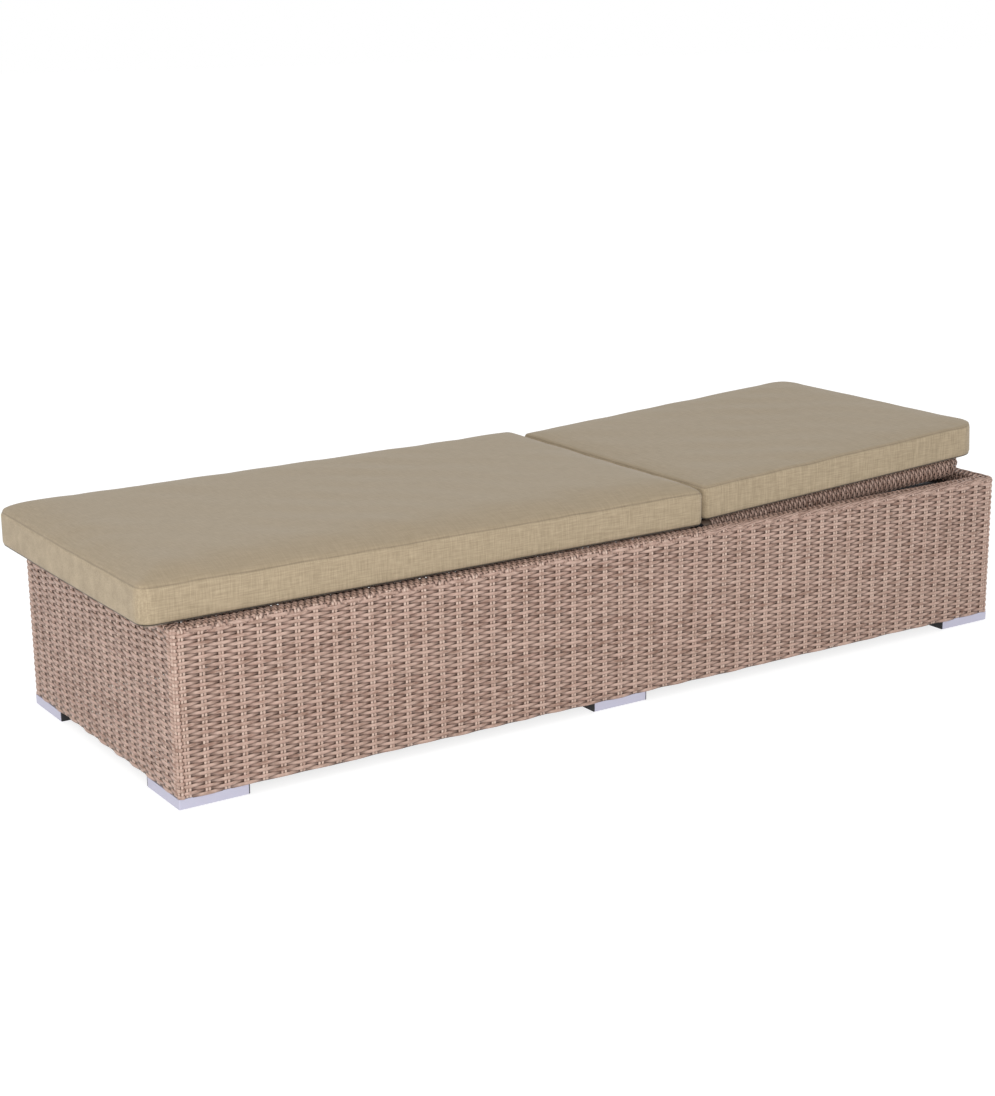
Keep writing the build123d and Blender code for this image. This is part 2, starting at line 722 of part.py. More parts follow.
def pad_outline(length, inset):
    """One level's outline: sides that slope in to chorded corners, with every edge parallel to the level below."""
    end_x = length / 2 - inset
    side_y = pad_width / 2 - inset
    side_slope = 2 * pad_side_bow / length
    end_slope = 2 * pad_end_bow / pad_width
    radius = pad_corner_radius - min(inset, pad_edge_radius)
    corner_x = (end_x - end_slope * (side_y - radius + side_slope * radius)) / (1 - side_slope * end_slope)
    corner_y = side_y - side_slope * (corner_x - radius)
    quarter = [(0, side_y)]
    for step in range(corner_steps + 1):
        turn = radians(90 * step / corner_steps)
        quarter.append((corner_x - radius * (1 - sin(turn)), corner_y - radius * (1 - cos(turn))))
    half = quarter + [(end_x, 0)] + [(x, -y) for x, y in reversed(quarter)]
    return half + [(-x, y) for x, y in reversed(half[1:-1])]


def cushion(plane, length, crown):
    """Pad on the plane's middle, lofted up through its soft edges to a crowned top."""
    with BuildPart() as pad:
        for inset, height in pad_levels(crown):
            with BuildSketch(plane.offset(height)):
                Polygon(*pad_outline(length, inset), align=None)
        loft(ruled=True)
    return pad.part


# Back pad on the back's wrapping, and seat pad on the deck up to the back pad's foot
back_pad_length = back_length - back_pad_start
back_pad_middle = back_pad_start + back_pad_length / 2
back_pad_lift = wrap_radius + pad_rest_clearance
back_pad_origin = back_face.from_local_coords(Vector(back_pad_middle, pad_side_shift, back_pad_lift))
back_pad_plane = Plane(origin=back_pad_origin, x_dir=back_along, z_dir=back_up)
finish(cushion(back_pad_plane, back_pad_length, back_crown), "back_pad")

pad_top_lean = (back_pad_lift + pad_thickness + back_crown) * sin(radians(rest_angle))
back_pad_foot = hinge_x + back_pad_start * cos(radians(rest_angle)) - pad_top_lean
seat_pad_start = foot_end - pad_overhang
seat_pad_length = back_pad_foot - pad_gap - seat_pad_start
seat_pad_plane = upright(seat_pad_start + seat_pad_length / 2, pad_side_shift, rim_height + pad_rest_clearance)
finish(cushion(seat_pad_plane, seat_pad_length, seat_crown), "seat_pad")
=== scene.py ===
import math
import random

import bmesh
import bpy
import numpy as np
from mathutils import Matrix, Vector


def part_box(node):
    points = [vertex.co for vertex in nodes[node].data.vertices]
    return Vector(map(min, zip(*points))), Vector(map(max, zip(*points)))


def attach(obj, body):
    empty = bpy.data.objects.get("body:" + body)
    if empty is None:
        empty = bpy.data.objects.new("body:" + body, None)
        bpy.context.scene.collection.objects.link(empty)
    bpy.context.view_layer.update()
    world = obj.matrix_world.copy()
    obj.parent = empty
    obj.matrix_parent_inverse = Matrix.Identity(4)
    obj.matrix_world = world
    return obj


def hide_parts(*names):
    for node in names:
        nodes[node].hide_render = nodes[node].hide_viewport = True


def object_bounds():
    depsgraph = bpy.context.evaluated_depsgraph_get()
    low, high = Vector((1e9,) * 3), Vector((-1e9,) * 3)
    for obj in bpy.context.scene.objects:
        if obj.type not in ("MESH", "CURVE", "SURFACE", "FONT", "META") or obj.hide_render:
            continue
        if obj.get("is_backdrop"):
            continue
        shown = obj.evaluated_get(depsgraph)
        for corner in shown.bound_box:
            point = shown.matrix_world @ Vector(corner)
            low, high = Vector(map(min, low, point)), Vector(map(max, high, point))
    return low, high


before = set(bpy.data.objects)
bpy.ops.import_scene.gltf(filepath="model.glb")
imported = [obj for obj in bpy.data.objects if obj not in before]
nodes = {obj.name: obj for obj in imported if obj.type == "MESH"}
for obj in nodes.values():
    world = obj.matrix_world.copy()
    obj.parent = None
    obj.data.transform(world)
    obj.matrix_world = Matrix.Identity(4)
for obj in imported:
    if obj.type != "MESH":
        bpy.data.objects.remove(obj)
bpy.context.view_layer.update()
scene = bpy.context.scene
MM = 0.001

# Welded frame: square aluminium tube, sawn, welded and then powder-coated brown before the
# strands go round it. It shows only inside the back's bay, when the back is raised.
FRAME_BROWN = "#6B5A4E"
PEEL = 2.0 * MM
PEEL_DEPTH = 0.2 * MM


def linear(colour):
    """An sRGB hex colour as the linear values that a shader takes."""
    shares = [int(colour[i:i + 2], 16) / 255 for i in (1, 3, 5)]
    return [s / 12.92 if s <= 0.04045 else ((s + 0.055) / 1.055) ** 2.4 for s in shares] + [1.0]


def add_node(tree, kind, settings=None, links=None):
    """Adds a node. Settings are its own fields, links its sockets: each a value or another socket."""
    node = tree.nodes.new(kind)
    for field, value in (settings or {}).items():
        setattr(node, field, value)
    for socket, value in (links or {}).items():
        if isinstance(value, bpy.types.NodeSocket):
            tree.links.new(value, node.inputs[socket])
        else:
            node.inputs[socket].default_value = value
    return node


def new_material(name, finish):
    """A material with a Principled shader, whose plain sockets take the finish's values."""
    material = bpy.data.materials.new(name)
    material.use_nodes = True
    tree = material.node_tree
    tree.nodes.clear()
    shader = add_node(tree, "ShaderNodeBsdfPrincipled", None, finish)
    add_node(tree, "ShaderNodeOutputMaterial", None, {"Surface": shader.outputs[0]})
    return material, tree, shader


def relief(tree, shader, cell, detail, strength, depth):
    """A fine relief all over a surface, whose cells have the given size along X, Y and Z."""
    place = add_node(tree, "ShaderNodeTexCoord")
    lay = add_node(tree, "ShaderNodeMapping", None, {
        "Vector": place.outputs["Object"], "Scale": [1 / size for size in cell]})
    grain = add_node(tree, "ShaderNodeTexNoise", None, {
        "Vector": lay.outputs[0], "Scale": 1.0, "Detail": detail})
    bump = add_node(tree, "ShaderNodeBump", None, {
        "Height": grain.outputs[0], "Strength": strength, "Distance": depth})
    tree.links.new(bump.outputs[0], shader.inputs["Normal"])


def dress(starts, material):
    """Gives a finish to the CAD nodes whose names start in one of the ways given."""
    for name in nodes:
        if name.startswith(starts):
            piece = nodes[name]
            piece.data.materials.clear()
            piece.data.materials.append(material)


# Powder coat: an even polyester film with a fine orange peel about 2 mm across
powder_coat, tree, shader = new_material("powder_coated_aluminium", {
    "Base Color": linear(FRAME_BROWN), "Roughness": 0.45, "IOR": 1.5})
relief(tree, shader, cell=(PEEL, PEEL, PEEL), detail=1.0, strength=0.15, depth=PEEL_DEPTH)

dress(("top_rail", "bottom_rail", "corner_post", "side_post", "seat_bar", "hinge_crossbar", "back_tube",
       "back_bar"), powder_coat)

# Feet: extruded rectangular aluminium tube, mitred at the corners and satin anodised, screwed up
# into the frame. Black plastic caps close the tube ends and black glides stand on the floor.
FOOT_SILVER = "#C2C1D2"
PLASTIC_BLACK = "#17171A"
ZINC_DARK = "#8E9096"
ZINC_PALE = "#B9BAC0"
DIE_LINE = 0.5 * MM
DIE_LINE_LENGTH = 50.0 * MM
DIE_LINE_DEPTH = 0.1 * MM
MOULD_GRAIN = 1.0 * MM
MOULD_GRAIN_DEPTH = 0.1 * MM
ZINC_CLOUD = 10.0 * MM

# A colour mix's sockets: how much of the second colour, the two colours, and the colour that comes out
SHARE, FIRST, SECOND, MIXED = 0, 6, 7, 2

# Satin anodising: a soft sheen over the die lines of the extrusion, about 0.5 mm apart
anodised, tree, shader = new_material("satin_anodised_aluminium", {
    "Base Color": linear(FOOT_SILVER), "Metallic": 0.55, "Roughness": 0.5})
relief(tree, shader, cell=(DIE_LINE_LENGTH, DIE_LINE_LENGTH, DIE_LINE), detail=2.0, strength=0.1,
       depth=DIE_LINE_DEPTH)

# Moulded polypropylene: matte, with a spark-eroded grain of about 1 mm
moulded_black, tree, shader = new_material("moulded_black_polypropylene", {
    "Base Color": linear(PLASTIC_BLACK), "Roughness": 0.6, "IOR": 1.49})
relief(tree, shader, cell=(MOULD_GRAIN, MOULD_GRAIN, MOULD_GRAIN), detail=2.0, strength=0.2,
       depth=MOULD_GRAIN_DEPTH)

# Zinc-plated steel: dull grey with a faint cloudy passivation, in patches of about 10 mm
zinc, tree, shader = new_material("zinc_plated_steel", {"Metallic": 0.9, "Roughness": 0.42})
place = add_node(tree, "ShaderNodeTexCoord")
clouds = add_node(tree, "ShaderNodeTexNoise", None, {
    "Vector": place.outputs["Object"], "Scale": 1 / ZINC_CLOUD, "Detail": 3.0})
tone = add_node(tree, "ShaderNodeMix", {"data_type": "RGBA"}, {
    SHARE: clouds.outputs[0], FIRST: linear(ZINC_DARK), SECOND: linear(ZINC_PALE)})
tree.links.new(tone.outputs[MIXED], shader.inputs["Base Color"])

dress(("corner_foot", "middle_foot"), anodised)
dress(("foot_end_caps", "foot_glides"), moulded_black)
dress(("foot_screws",), zinc)

# Racks and stay: two toothed flat bars along the bay, and below the back a folding stay of two flat
# arms and a round bar that lies on the teeth. All are steel, cut or bent and then zinc plated.
dress(("rack", "stay"), zinc)

# Hinge: rounded steel lugs and hexagon-head pins, zinc plated and passivated black, with moulded
# bushes pressed into the back's hinge tube. They lie open to view in the gap between the pads.
HINGE_BLACK = "#242326"

# Black passivation: dark, with little shine
black_zinc, tree, shader = new_material("black_passivated_zinc", {
    "Base Color": linear(HINGE_BLACK), "Metallic": 0.5, "Roughness": 0.55})

dress(("hinge_bracket", "hinge_pins"), black_zinc)
dress(("hinge_bushes",), moulded_black)

# Woven walls: flat-backed weavers of polyethylene strand, about 6 mm wide, go round the box in
# rows, over one pair of upright strands and behind the next. The pairs stand about 37 mm apart,
# with a closer pair in each corner, and all of them are tied down round the bottom rail.
STRAND_SIDES = 6
ROW_PITCH = 6.29 * MM
WEAVER_WIDTH = 6.5 * MM
WEAVER_THICKNESS = 2.4 * MM
UPRIGHT_WIDTH = 4.7 * MM
UPRIGHT_THICKNESS = 3.2 * MM
WEAVER_LIFT = 2.2 * MM
WEAVER_LIFT_SHARES = (0.9, 1.05)
UPRIGHT_LIFT = 1.1 * MM
UPRIGHT_LEAN = 0.6 * MM
UPRIGHT_FOOT = 1.0 * MM
DIP_LENGTH = 11.5 * MM
DIP_SHARE = 0.45
DIP_LEVEL = 0.15
SETTLE = 0.9 * MM
PAIR_HALF = 3.0 * MM
CORNER_PAIR_HALF = 2.6 * MM
FIRST_PAIR = 19.0 * MM
PAIR_PITCH = 37.7 * MM
SKIN_MIDDLE = 3.0 * MM
CORNER_RADIUS = 12.0 * MM
RIM_DEPTH = 4.0 * MM

# Hand weaving wanders: three waves of drift, each with its share of the sway, its length along the
# wall and its way from row to row, fading out towards the corners
ROW_SWAY = 1.0 * MM
SWAY_WAVES = ((0.5, 310.0 * MM, 1), (0.35, 130.0 * MM, -1), (0.25, 71.0 * MM, 1))
SWAY_ROW_STEP = (0.25, 0.6)
SWAY_PHASE = (0, 6.28)
CORNER_FADE = 50.0 * MM

low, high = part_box("weave_left")
foot_end, head_end, wall_foot, rim_top = low.x, high.x, low.z, high.z
left_face = low.y
right_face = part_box("weave_right")[1].y
corner_bend = CORNER_RADIUS - SKIN_MIDDLE
half_arc = corner_bend * math.pi / 4
lay_out = random.Random(7)

# Mottling of the strand, from the dark ground up: how long a mark is, its seed, how often it changes
# round the strand, its detail, the stretch of the noise that it takes, and how much of it shows
PATCHES = (45.0 * MM, 61.0, 0.6, 2.0, (0.35, 0.68), 1.0)
STREAKS = (12.0 * MM, 97.0, 5.0, 2.0, (0.3, 0.75), 0.65)
WHOLE_STRANDS = (400.0 * MM, 233.0, 0.0, 0.0, (0.3, 0.7), 0.35)
DIE_MARKS = (20.0 * MM, 31.0, 24.0, 1.0)
DIE_MARK_DEPTH = 0.2 * MM

# Painted shade, standing in for the shadow inside the weave: full at the back of the weave, none where a
# strand lies in front, and darker along a strand's edges
PAINTED_SHADE_RANGE = {"From Min": 0.4, "From Max": 1.0, "To Max": 0.75}
EDGE_PAINTED_SHADE = 0.2


def rattan(name, light, mid, dark, painted_shade):
    """Extruded polyethylene strand: two-tone along its length, satin, with fine lines from the die.
    Where a strand dips and along its edges it is darkened with painted shade, which stands in for the shadow
    in the weave."""
    material, tree, shader = new_material(name, {"Roughness": 0.46, "IOR": 1.5})
    lay = add_node(tree, "ShaderNodeAttribute", {"attribute_name": "lay"})
    parts = add_node(tree, "ShaderNodeSeparateXYZ", None, {0: lay.outputs["Vector"]})
    along, strand, around = parts.outputs

    def marks(length, seed, changes_round, detail):
        """Noise that changes every so many metres along a strand and differs from strand to strand."""
        far = add_node(tree, "ShaderNodeMath", {"operation": "DIVIDE"}, {0: along, 1: length})
        own = add_node(tree, "ShaderNodeMath", {"operation": "MULTIPLY"}, {0: strand, 1: seed})
        turn = add_node(tree, "ShaderNodeMath", {"operation": "MULTIPLY"}, {0: around, 1: changes_round})
        spot = add_node(tree, "ShaderNodeCombineXYZ", None, {
            0: far.outputs[0], 1: own.outputs[0], 2: turn.outputs[0]})
        made = add_node(tree, "ShaderNodeTexNoise", None, {
            "Vector": spot.outputs[0], "Scale": 1.0, "Detail": detail})
        return made.outputs[0]

    tone = linear(dark)
    layers = ((PATCHES, mid), (STREAKS, light), (WHOLE_STRANDS, light))
    for (*kind, (start, end), amount), colour in layers:
        spread = add_node(tree, "ShaderNodeMapRange", {"interpolation_type": "SMOOTHSTEP"}, {
            "Value": marks(*kind), "From Min": start, "From Max": end, "To Max": amount})
        mottled = add_node(tree, "ShaderNodeMix", {"data_type": "RGBA"}, {
            SHARE: spread.outputs[0], FIRST: tone, SECOND: linear(colour)})
        tone = mottled.outputs[MIXED]
    # Painted shade: the deeper a strand lies in the weave, the more of the dark colour it takes
    sunk = add_node(tree, "ShaderNodeAttribute", {"attribute_name": "sunk"})
    shade = add_node(tree, "ShaderNodeMapRange", None, {"Value": sunk.outputs["Fac"], **PAINTED_SHADE_RANGE})
    deep = add_node(tree, "ShaderNodeMix", {"data_type": "RGBA"}, {
        SHARE: shade.outputs[0], FIRST: tone, SECOND: linear(painted_shade)})
    tree.links.new(deep.outputs[MIXED], shader.inputs["Base Color"])
    bump = add_node(tree, "ShaderNodeBump", None, {
        "Height": marks(*DIE_MARKS), "Strength": 0.35, "Distance": DIE_MARK_DEPTH})
    tree.links.new(bump.outputs[0], shader.inputs["Normal"])
    return material


# Polyethylene rattan: the same mottled brown strand throughout, in a paler batch for the uprights
wicker = rattan("mottled_pe_rattan", light="#D3B7A8", mid="#AF8E80", dark="#856454", painted_shade="#3E2B23")
wicker_upright = rattan("pale_pe_rattan", light="#E1CABB", mid="#CBAF9F", dark="#A78677", painted_shade="#4A342A")


def new_piece(name, data):
    """A new object in the scene, which shows the data given."""
    piece = bpy.data.objects.new(name, data)
    scene.collection.objects.link(piece)
    return piece


def strand_piece(name, runs, width, thickness, material, body, *replaced):
    """One mesh of closed strands. Each run is its points and, at each of them, the way its broad
    face looks and its level in the weave, 1 in front and -1 behind, which sets its painted shade."""
    turns = (np.arange(STRAND_SIDES) + 0.5) * 2 * math.pi / STRAND_SIDES
    width = width / math.cos(turns[0])
    edges = np.sin(turns) < 0.9
    points, faces, lays, sinks, charts = [], [], [], [], []
    start = 0
    lengths = []
    for line, facing, level in runs:
        steps = np.linalg.norm(np.diff(line, axis=0), axis=1)
        lengths.append(np.concatenate([[0.0], np.cumsum(steps)]))
    longest = max(along[-1] for along in lengths)
    for index, ((line, facing, level), along) in enumerate(zip(runs, lengths)):
        count = len(line)
        tangent = np.gradient(line, axis=0)
        tangent /= np.linalg.norm(tangent, axis=1)[:, None]
        across = np.cross(tangent, facing)
        across /= np.linalg.norm(across, axis=1)[:, None]
        up = np.cross(across, tangent)
        rings = (line[:, None, :] + np.cos(turns)[None, :, None] * across[:, None, :] * width / 2
                 + np.sin(turns)[None, :, None] * up[:, None, :] * thickness / 2)
        points.append(rings.reshape(-1, 3))

        # What the colour follows: how far along, which strand, how far round, and how deep it lies, which
        # sets its painted shade
        lay = np.empty((count, STRAND_SIDES, 3))
        lay[..., 0] = along[:, None]
        lay[..., 1] = lay_out.random()
        lay[..., 2] = (np.arange(STRAND_SIDES) / STRAND_SIDES)[None, :]
        lays.append(lay.reshape(-1, 3))
        sink = (1 - np.broadcast_to(level, count)) / 2
        sinks.append((sink[:, None] + EDGE_PAINTED_SHADE * edges[None, :]).ravel())

        # Four-sided faces along the strand and one face over each of its ends
        ring, side = np.meshgrid(np.arange(count - 1), np.arange(STRAND_SIDES), indexing="ij")
        after = (side + 1) % STRAND_SIDES
        first = start + ring * STRAND_SIDES
        second = first + STRAND_SIDES
        quad = np.stack([first + side, second + side, second + after, first + after], -1)
        faces += quad.reshape(-1, 4).tolist()
        faces.append(list(range(start, start + STRAND_SIDES)))
        last = start + (count - 1) * STRAND_SIDES
        faces.append(list(range(last + STRAND_SIDES - 1, last - 1, -1)))

        # Each strand has its own row of the chart, as long as its share of the longest strand
        u0, u1 = along[ring] / longest, along[ring + 1] / longest
        v0 = (index + side / STRAND_SIDES) / len(runs)
        v1 = (index + (side + 1) / STRAND_SIDES) / len(runs)
        charts.append(np.stack([u0, v0, u1, v0, u1, v1, u0, v1], -1).ravel())
        charts.append(np.array([0.0, index / len(runs)] * STRAND_SIDES * 2))
        start += count * STRAND_SIDES
    mesh = bpy.data.meshes.new(name)
    mesh.from_pydata(np.concatenate(points), [], faces)
    mesh.shade_smooth()
    lay = mesh.attributes.new("lay", "FLOAT_VECTOR", "POINT")
    lay.data.foreach_set("vector", np.concatenate(lays).astype(np.float32).ravel())
    sunk = mesh.attributes.new("sunk", "FLOAT", "POINT")
    sunk.data.foreach_set("value", np.concatenate(sinks).astype(np.float32))
    chart = mesh.uv_layers.new(name="OFBake")
    chart.data.foreach_set("uv", np.concatenate(charts).astype(np.float32))
    mesh.materials.append(material)
    piece = new_piece(name, mesh)
    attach(piece, body)
    if replaced:
        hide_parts(*replaced)


def over_under(count):
    """1 where a strand goes over, at an even count of crossings, and -1 where it goes under."""
    return 1 - 2 * (count % 2)


def weaver_steps(crossings, halves, first=1):
    """Rings along a weaver, and its level there: over and under the crossings in turn, and nearly
    level between them."""
    places, levels = [], []
    for k, (middle, half) in enumerate(zip(crossings, halves)):
        level = first * over_under(k)
        if k:
            left = crossings[k - 1] + halves[k - 1]
            gap = middle - half - left
            dip = min(DIP_LENGTH, gap * DIP_SHARE)
            places += [left + dip, middle - half - dip]
            levels += [-DIP_LEVEL * level, DIP_LEVEL * level]
        places += [middle - half, middle + half]
        levels += [level, level]
    return np.clip(places, crossings[0], crossings[-1]), np.array(levels)


def sway_of(seed):
    """Unevenness of hand weaving: a smooth drift of a wall's rows."""
    chance = random.Random(seed)
    waves = [(ROW_SWAY * share, 2 * math.pi / wave,
              chance.uniform(*SWAY_ROW_STEP) * way, chance.uniform(*SWAY_PHASE))
             for share, wave, way in SWAY_WAVES]
    return lambda s, row: sum(a * np.sin(k * s + r * row + p) for a, k, r, p in waves)


def woven(place, rows, crossings, halves, sway):
    """Weavers of one panel. Place turns (along, row, off) into points and facings."""
    s, level = weaver_steps(crossings, halves)
    fade = np.clip(np.minimum(s - s[0], s[-1] - s) / CORNER_FADE, 0, 1)
    runs = []
    for j, row in enumerate(rows):
        level_here = level * over_under(j)
        off = WEAVER_LIFT * level_here * lay_out.uniform(*WEAVER_LIFT_SHARES)
        settled = SETTLE * (1 - level_here) / 2
        runs.append((*place(s, row + fade * sway(s, j) - settled, off), level_here))
    return runs


def uprights(place, rows, crossings, halves, ends):
    """Upright strands of one panel, two at each crossing, behind each weaver that goes over them."""
    runs = []
    t = np.array([ends[0], *rows, ends[1]])
    for k, (middle, half) in enumerate(zip(crossings, halves)):
        level = -over_under(k) * over_under(np.arange(len(rows)))
        level = np.array([-level[0], *level, -level[-1]])
        shift_by = half - UPRIGHT_WIDTH / 2
        for shift in (-shift_by, shift_by):
            lean = lay_out.uniform(-UPRIGHT_LEAN, UPRIGHT_LEAN)
            s = middle + shift + np.linspace(-lean, lean, len(t))
            runs.append((*place(s, t, UPRIGHT_LIFT * level), level))
    return runs


def wall_place(corner, along, out, length):
    """The middle of one wall's skin, from the middle of one rounded corner to the middle of the next."""
    straight = length - 2 * CORNER_RADIUS
    corner, along, out = (np.array((*flat, 0.0)) for flat in (corner, along, out))

    def place(s, z, off):
        turn_in = np.clip(half_arc - s, 0, None) / corner_bend
        turn_out = np.clip(s - half_arc - straight, 0, None) / corner_bend
        run = np.clip(s - half_arc, 0, straight)
        lean = turn_out - turn_in
        far = CORNER_RADIUS + run + (corner_bend + off) * np.sin(lean)
        proud = -CORNER_RADIUS + (corner_bend + off) * np.cos(lean)
        spot = corner + far[:, None] * along + proud[:, None] * out
        spot[:, 2] = z
        return spot, np.sin(lean)[:, None] * along + np.cos(lean)[:, None] * out

    return place, 2 * half_arc + straight


# Each wall: its side, the corner where it starts, the way along it, the way out of it, its length
walls = (
    ("left", (foot_end, left_face), (1, 0), (0, -1), head_end - foot_end),
    ("head", (head_end, left_face), (0, 1), (1, 0), right_face - left_face),
    ("right", (head_end, right_face), (-1, 0), (0, 1), head_end - foot_end),
    ("foot", (foot_end, right_face), (0, -1), (-1, 0), right_face - left_face),
)
row_count = int((rim_top - RIM_DEPTH - wall_foot) / ROW_PITCH)
wall_rows = [wall_foot + (j + 0.5) * ROW_PITCH for j in range(row_count)]
upright_ends = (wall_foot + UPRIGHT_FOOT, rim_top - RIM_DEPTH)
corner_half = CORNER_PAIR_HALF + UPRIGHT_WIDTH / 2
for seed, (side, corner, along, out, length) in enumerate(walls):
    place, reach = wall_place(corner, along, out, length)
    shift = reach / 2 - length / 2
    pairs = round((length - 2 * FIRST_PAIR) / PAIR_PITCH / 2) * 2 + 1
    middles = [FIRST_PAIR + shift + k * (length - 2 * FIRST_PAIR) / (pairs - 1) for k in range(pairs)]
    crossings = [0.0, *middles, reach]
    halves = [corner_half] + [PAIR_HALF + UPRIGHT_WIDTH / 2] * pairs + [corner_half]
    weavers = woven(place, wall_rows, crossings, halves, sway_of(seed))
    strand_piece(f"weavers_{side}", weavers, WEAVER_WIDTH, WEAVER_THICKNESS, wicker, "base", f"weave_{side}")
    stems = uprights(place, wall_rows, crossings[:-1], halves, upright_ends)
    strand_piece(f"uprights_{side}", stems, UPRIGHT_WIDTH, UPRIGHT_THICKNESS, wicker_upright, "base")

# Rim: strands are wrapped round the top rail, tucked in behind the walls' top rows, over and under
# strands laid along the rail. On the foot's rail they end at the deck, and round the bay of the
# back they run on down the rail's inner lip.
WRAP_PITCH = 6.7 * MM
WRAP_WIDTH = 4.7 * MM
WRAP_THICKNESS = 1.9 * MM
WRAP_LIFT = 1.6 * MM
TUCK = 2.6 * MM
TUCK_RUN = 4.0 * MM
CORE_WIDTH = 3.2 * MM
CORE_THICKNESS = 2.0 * MM
CORE_LIFT = 0.4 * MM
CORE_HALF = 1.0 * MM
RIM_CORES = [4.0 * MM, 12.7 * MM, 24.4 * MM, 35.4 * MM, 50.0 * MM, 59.0 * MM]
DECK_CORES = RIM_CORES[:4]
RIM_WIDTH = 37.0 * MM
RIM_RISE = 8.0 * MM
RIM_BEND = 6.0 * MM
RIM_FLAT = 22.0 * MM
LIP_BEND = 3.0 * MM
LIP_DROP = 22.0 * MM
CORNER_ROOM = CORNER_RADIUS - 2.0 * MM
END_ROOM = 2.0 * MM

# On the deck's side the rail's flat top runs on into the deck, for longer than any run
DECK_FLAT = 1.0

deck_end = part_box("weave_deck")[1].x
rim_start = rim_top - SKIN_MIDDLE - RIM_BEND - RIM_RISE
top_run = RIM_RISE + RIM_BEND * math.pi / 2
lip_run = top_run + RIM_FLAT
full_run = lip_run + LIP_BEND * math.pi / 2 + LIP_DROP

# What lies inside the rail: how far its top is level, how far a wrap runs, and the cores that it crosses
to_deck = (DECK_FLAT, lip_run, DECK_CORES)
to_bay = (RIM_FLAT, full_run, RIM_CORES)


def rim_section(run, flat):
    """The rail's wrapping at a length from its tucked end: depth in from the wall, height, facing."""
    turn = np.clip((run - RIM_RISE) / RIM_BEND, 0, math.pi / 2)
    level = np.clip(run - top_run, 0, flat)
    lip_turn = np.clip((run - top_run - flat) / LIP_BEND, 0, math.pi / 2)
    drop = np.clip(run - top_run - flat - LIP_BEND * math.pi / 2, 0, None)
    depth = SKIN_MIDDLE + RIM_BEND * (1 - np.cos(turn)) + level + LIP_BEND * np.sin(lip_turn)
    climb = np.minimum(run, RIM_RISE) + RIM_BEND * np.sin(turn)
    height = rim_start + climb - LIP_BEND * (1 - np.cos(lip_turn)) - drop
    return depth, height, np.cos(turn) - np.sin(lip_turn), np.sin(turn) * np.cos(lip_turn)


def on_rim(place, s, run, off, flat):
    """Points on the rail's wrapping, off from its middle, and their facings."""
    depth, height, out, top = rim_section(run, flat)
    spot, facing = place(s, height + off * top, SKIN_MIDDLE - depth + off * out)
    return spot, facing * out[:, None] + top[:, None] * np.array([[0, 0, 1]])


def tucked(run):
    """How far a strand is pushed in near its end, behind the walls' top rows."""
    return TUCK * np.clip(1 - run / TUCK_RUN, 0, 1)


def mitre_run(s, reach, mitred):
    """How far a wrap can run before it meets those of the next wall."""
    room = np.full(np.shape(s), np.inf)
    if mitred[0]:
        room = np.minimum(room, CORNER_RADIUS + s - half_arc)
    if mitred[1]:
        room = np.minimum(room, CORNER_RADIUS + reach - s - half_arc)
    return np.maximum(room, CORNER_ROOM) - SKIN_MIDDLE - RIM_BEND + top_run


def wrap_runs(place, reach, spots, inside, mitred):
    """Wraps over the rail at the places given, over and under its cores in turn."""
    flat, full, cores = inside
    runs = []
    for i, s in enumerate(spots):
        stop = float(min(full, mitre_run(s, reach, mitred)))
        crossings = [0.0, *(core for core in cores if core < stop - END_ROOM), stop]
        run, level = weaver_steps(crossings, [CORE_HALF] * len(crossings), over_under(i))
        off = WRAP_LIFT * level - tucked(run)
        runs.append((*on_rim(place, np.full(len(run), s), run, off, flat), level))
    return runs


def core_runs(place, reach, start, stop, inside, mitred):
    """Strands along the rail, each mitred to meet the next wall's."""
    flat, _, cores = inside
    runs = []
    for j, core in enumerate(cores):
        inset = max(float(rim_section(core, flat)[0]) - CORNER_RADIUS + half_arc, 0.0)
        first = max(start, inset) if mitred[0] else start
        last = min(stop, reach - inset) if mitred[1] else stop
        count = max(int((last - first) / WRAP_PITCH), 2)
        s = np.linspace(first, last, count)
        level = over_under(np.arange(count) + j)
        runs.append((*on_rim(place, s, np.full(count, core), CORE_LIFT * level, flat), level))
    return runs


def spaced(start, stop, pitch):
    """Places at about the pitch given, half a pitch in from both ends."""
    count = max(round((stop - start) / pitch), 1)
    return [start + (k + 0.5) * (stop - start) / count for k in range(count)]


# Along a side wall from the foot: wraps up to the deck's first weaver, and again beside the bay
seat_start = half_arc + RIM_WIDTH - CORNER_RADIUS
bay_start = half_arc + deck_end - foot_end - CORNER_RADIUS
cores = []
for side, corner, along, out, length in walls:
    place, reach = wall_place(corner, along, out, length)
    stretches = [
        (to_deck, (0, seat_start), (0, bay_start), (True, False)),
        (to_bay, (bay_start - WRAP_PITCH, reach), (bay_start, reach), (False, True))]
    if side == "foot":
        stretches = [(to_deck, (0, reach), (0, reach), (True, True))]
    elif side == "head":
        stretches = [(to_bay, (0, reach), (0, reach), (True, True))]
    elif side == "right":
        stretches = [
            (inside, (reach - last, reach - first), (reach - stop, reach - start), (far, near))
            for inside, (first, last), (start, stop), (near, far) in stretches]
    wraps = []
    for inside, wrapped, laid, mitred in stretches:
        wraps += wrap_runs(place, reach, spaced(*wrapped, WRAP_PITCH), inside, mitred)
        cores += core_runs(place, reach, *laid, inside, mitred)
    strand_piece(f"rim_wraps_{side}", wraps, WRAP_WIDTH, WRAP_THICKNESS, wicker, "base")
strand_piece("rim_cores", cores, CORE_WIDTH, CORE_THICKNESS, wicker, "base")

# Deck: its weavers run from side to side over pairs of lengthwise stakes, bend over the top rail on
# both sides and are tucked in behind the walls' top rows, like the rim's wraps. The last rows fold
# down over the bar in front of the bay.
STAKE_PITCH = 75.0 * MM
DECK_LEAN = 4.0 * MM
FOLD_BEND = 3.0 * MM
FOLD_START = 2.0 * MM
FOLD_DROP = 22.0 * MM

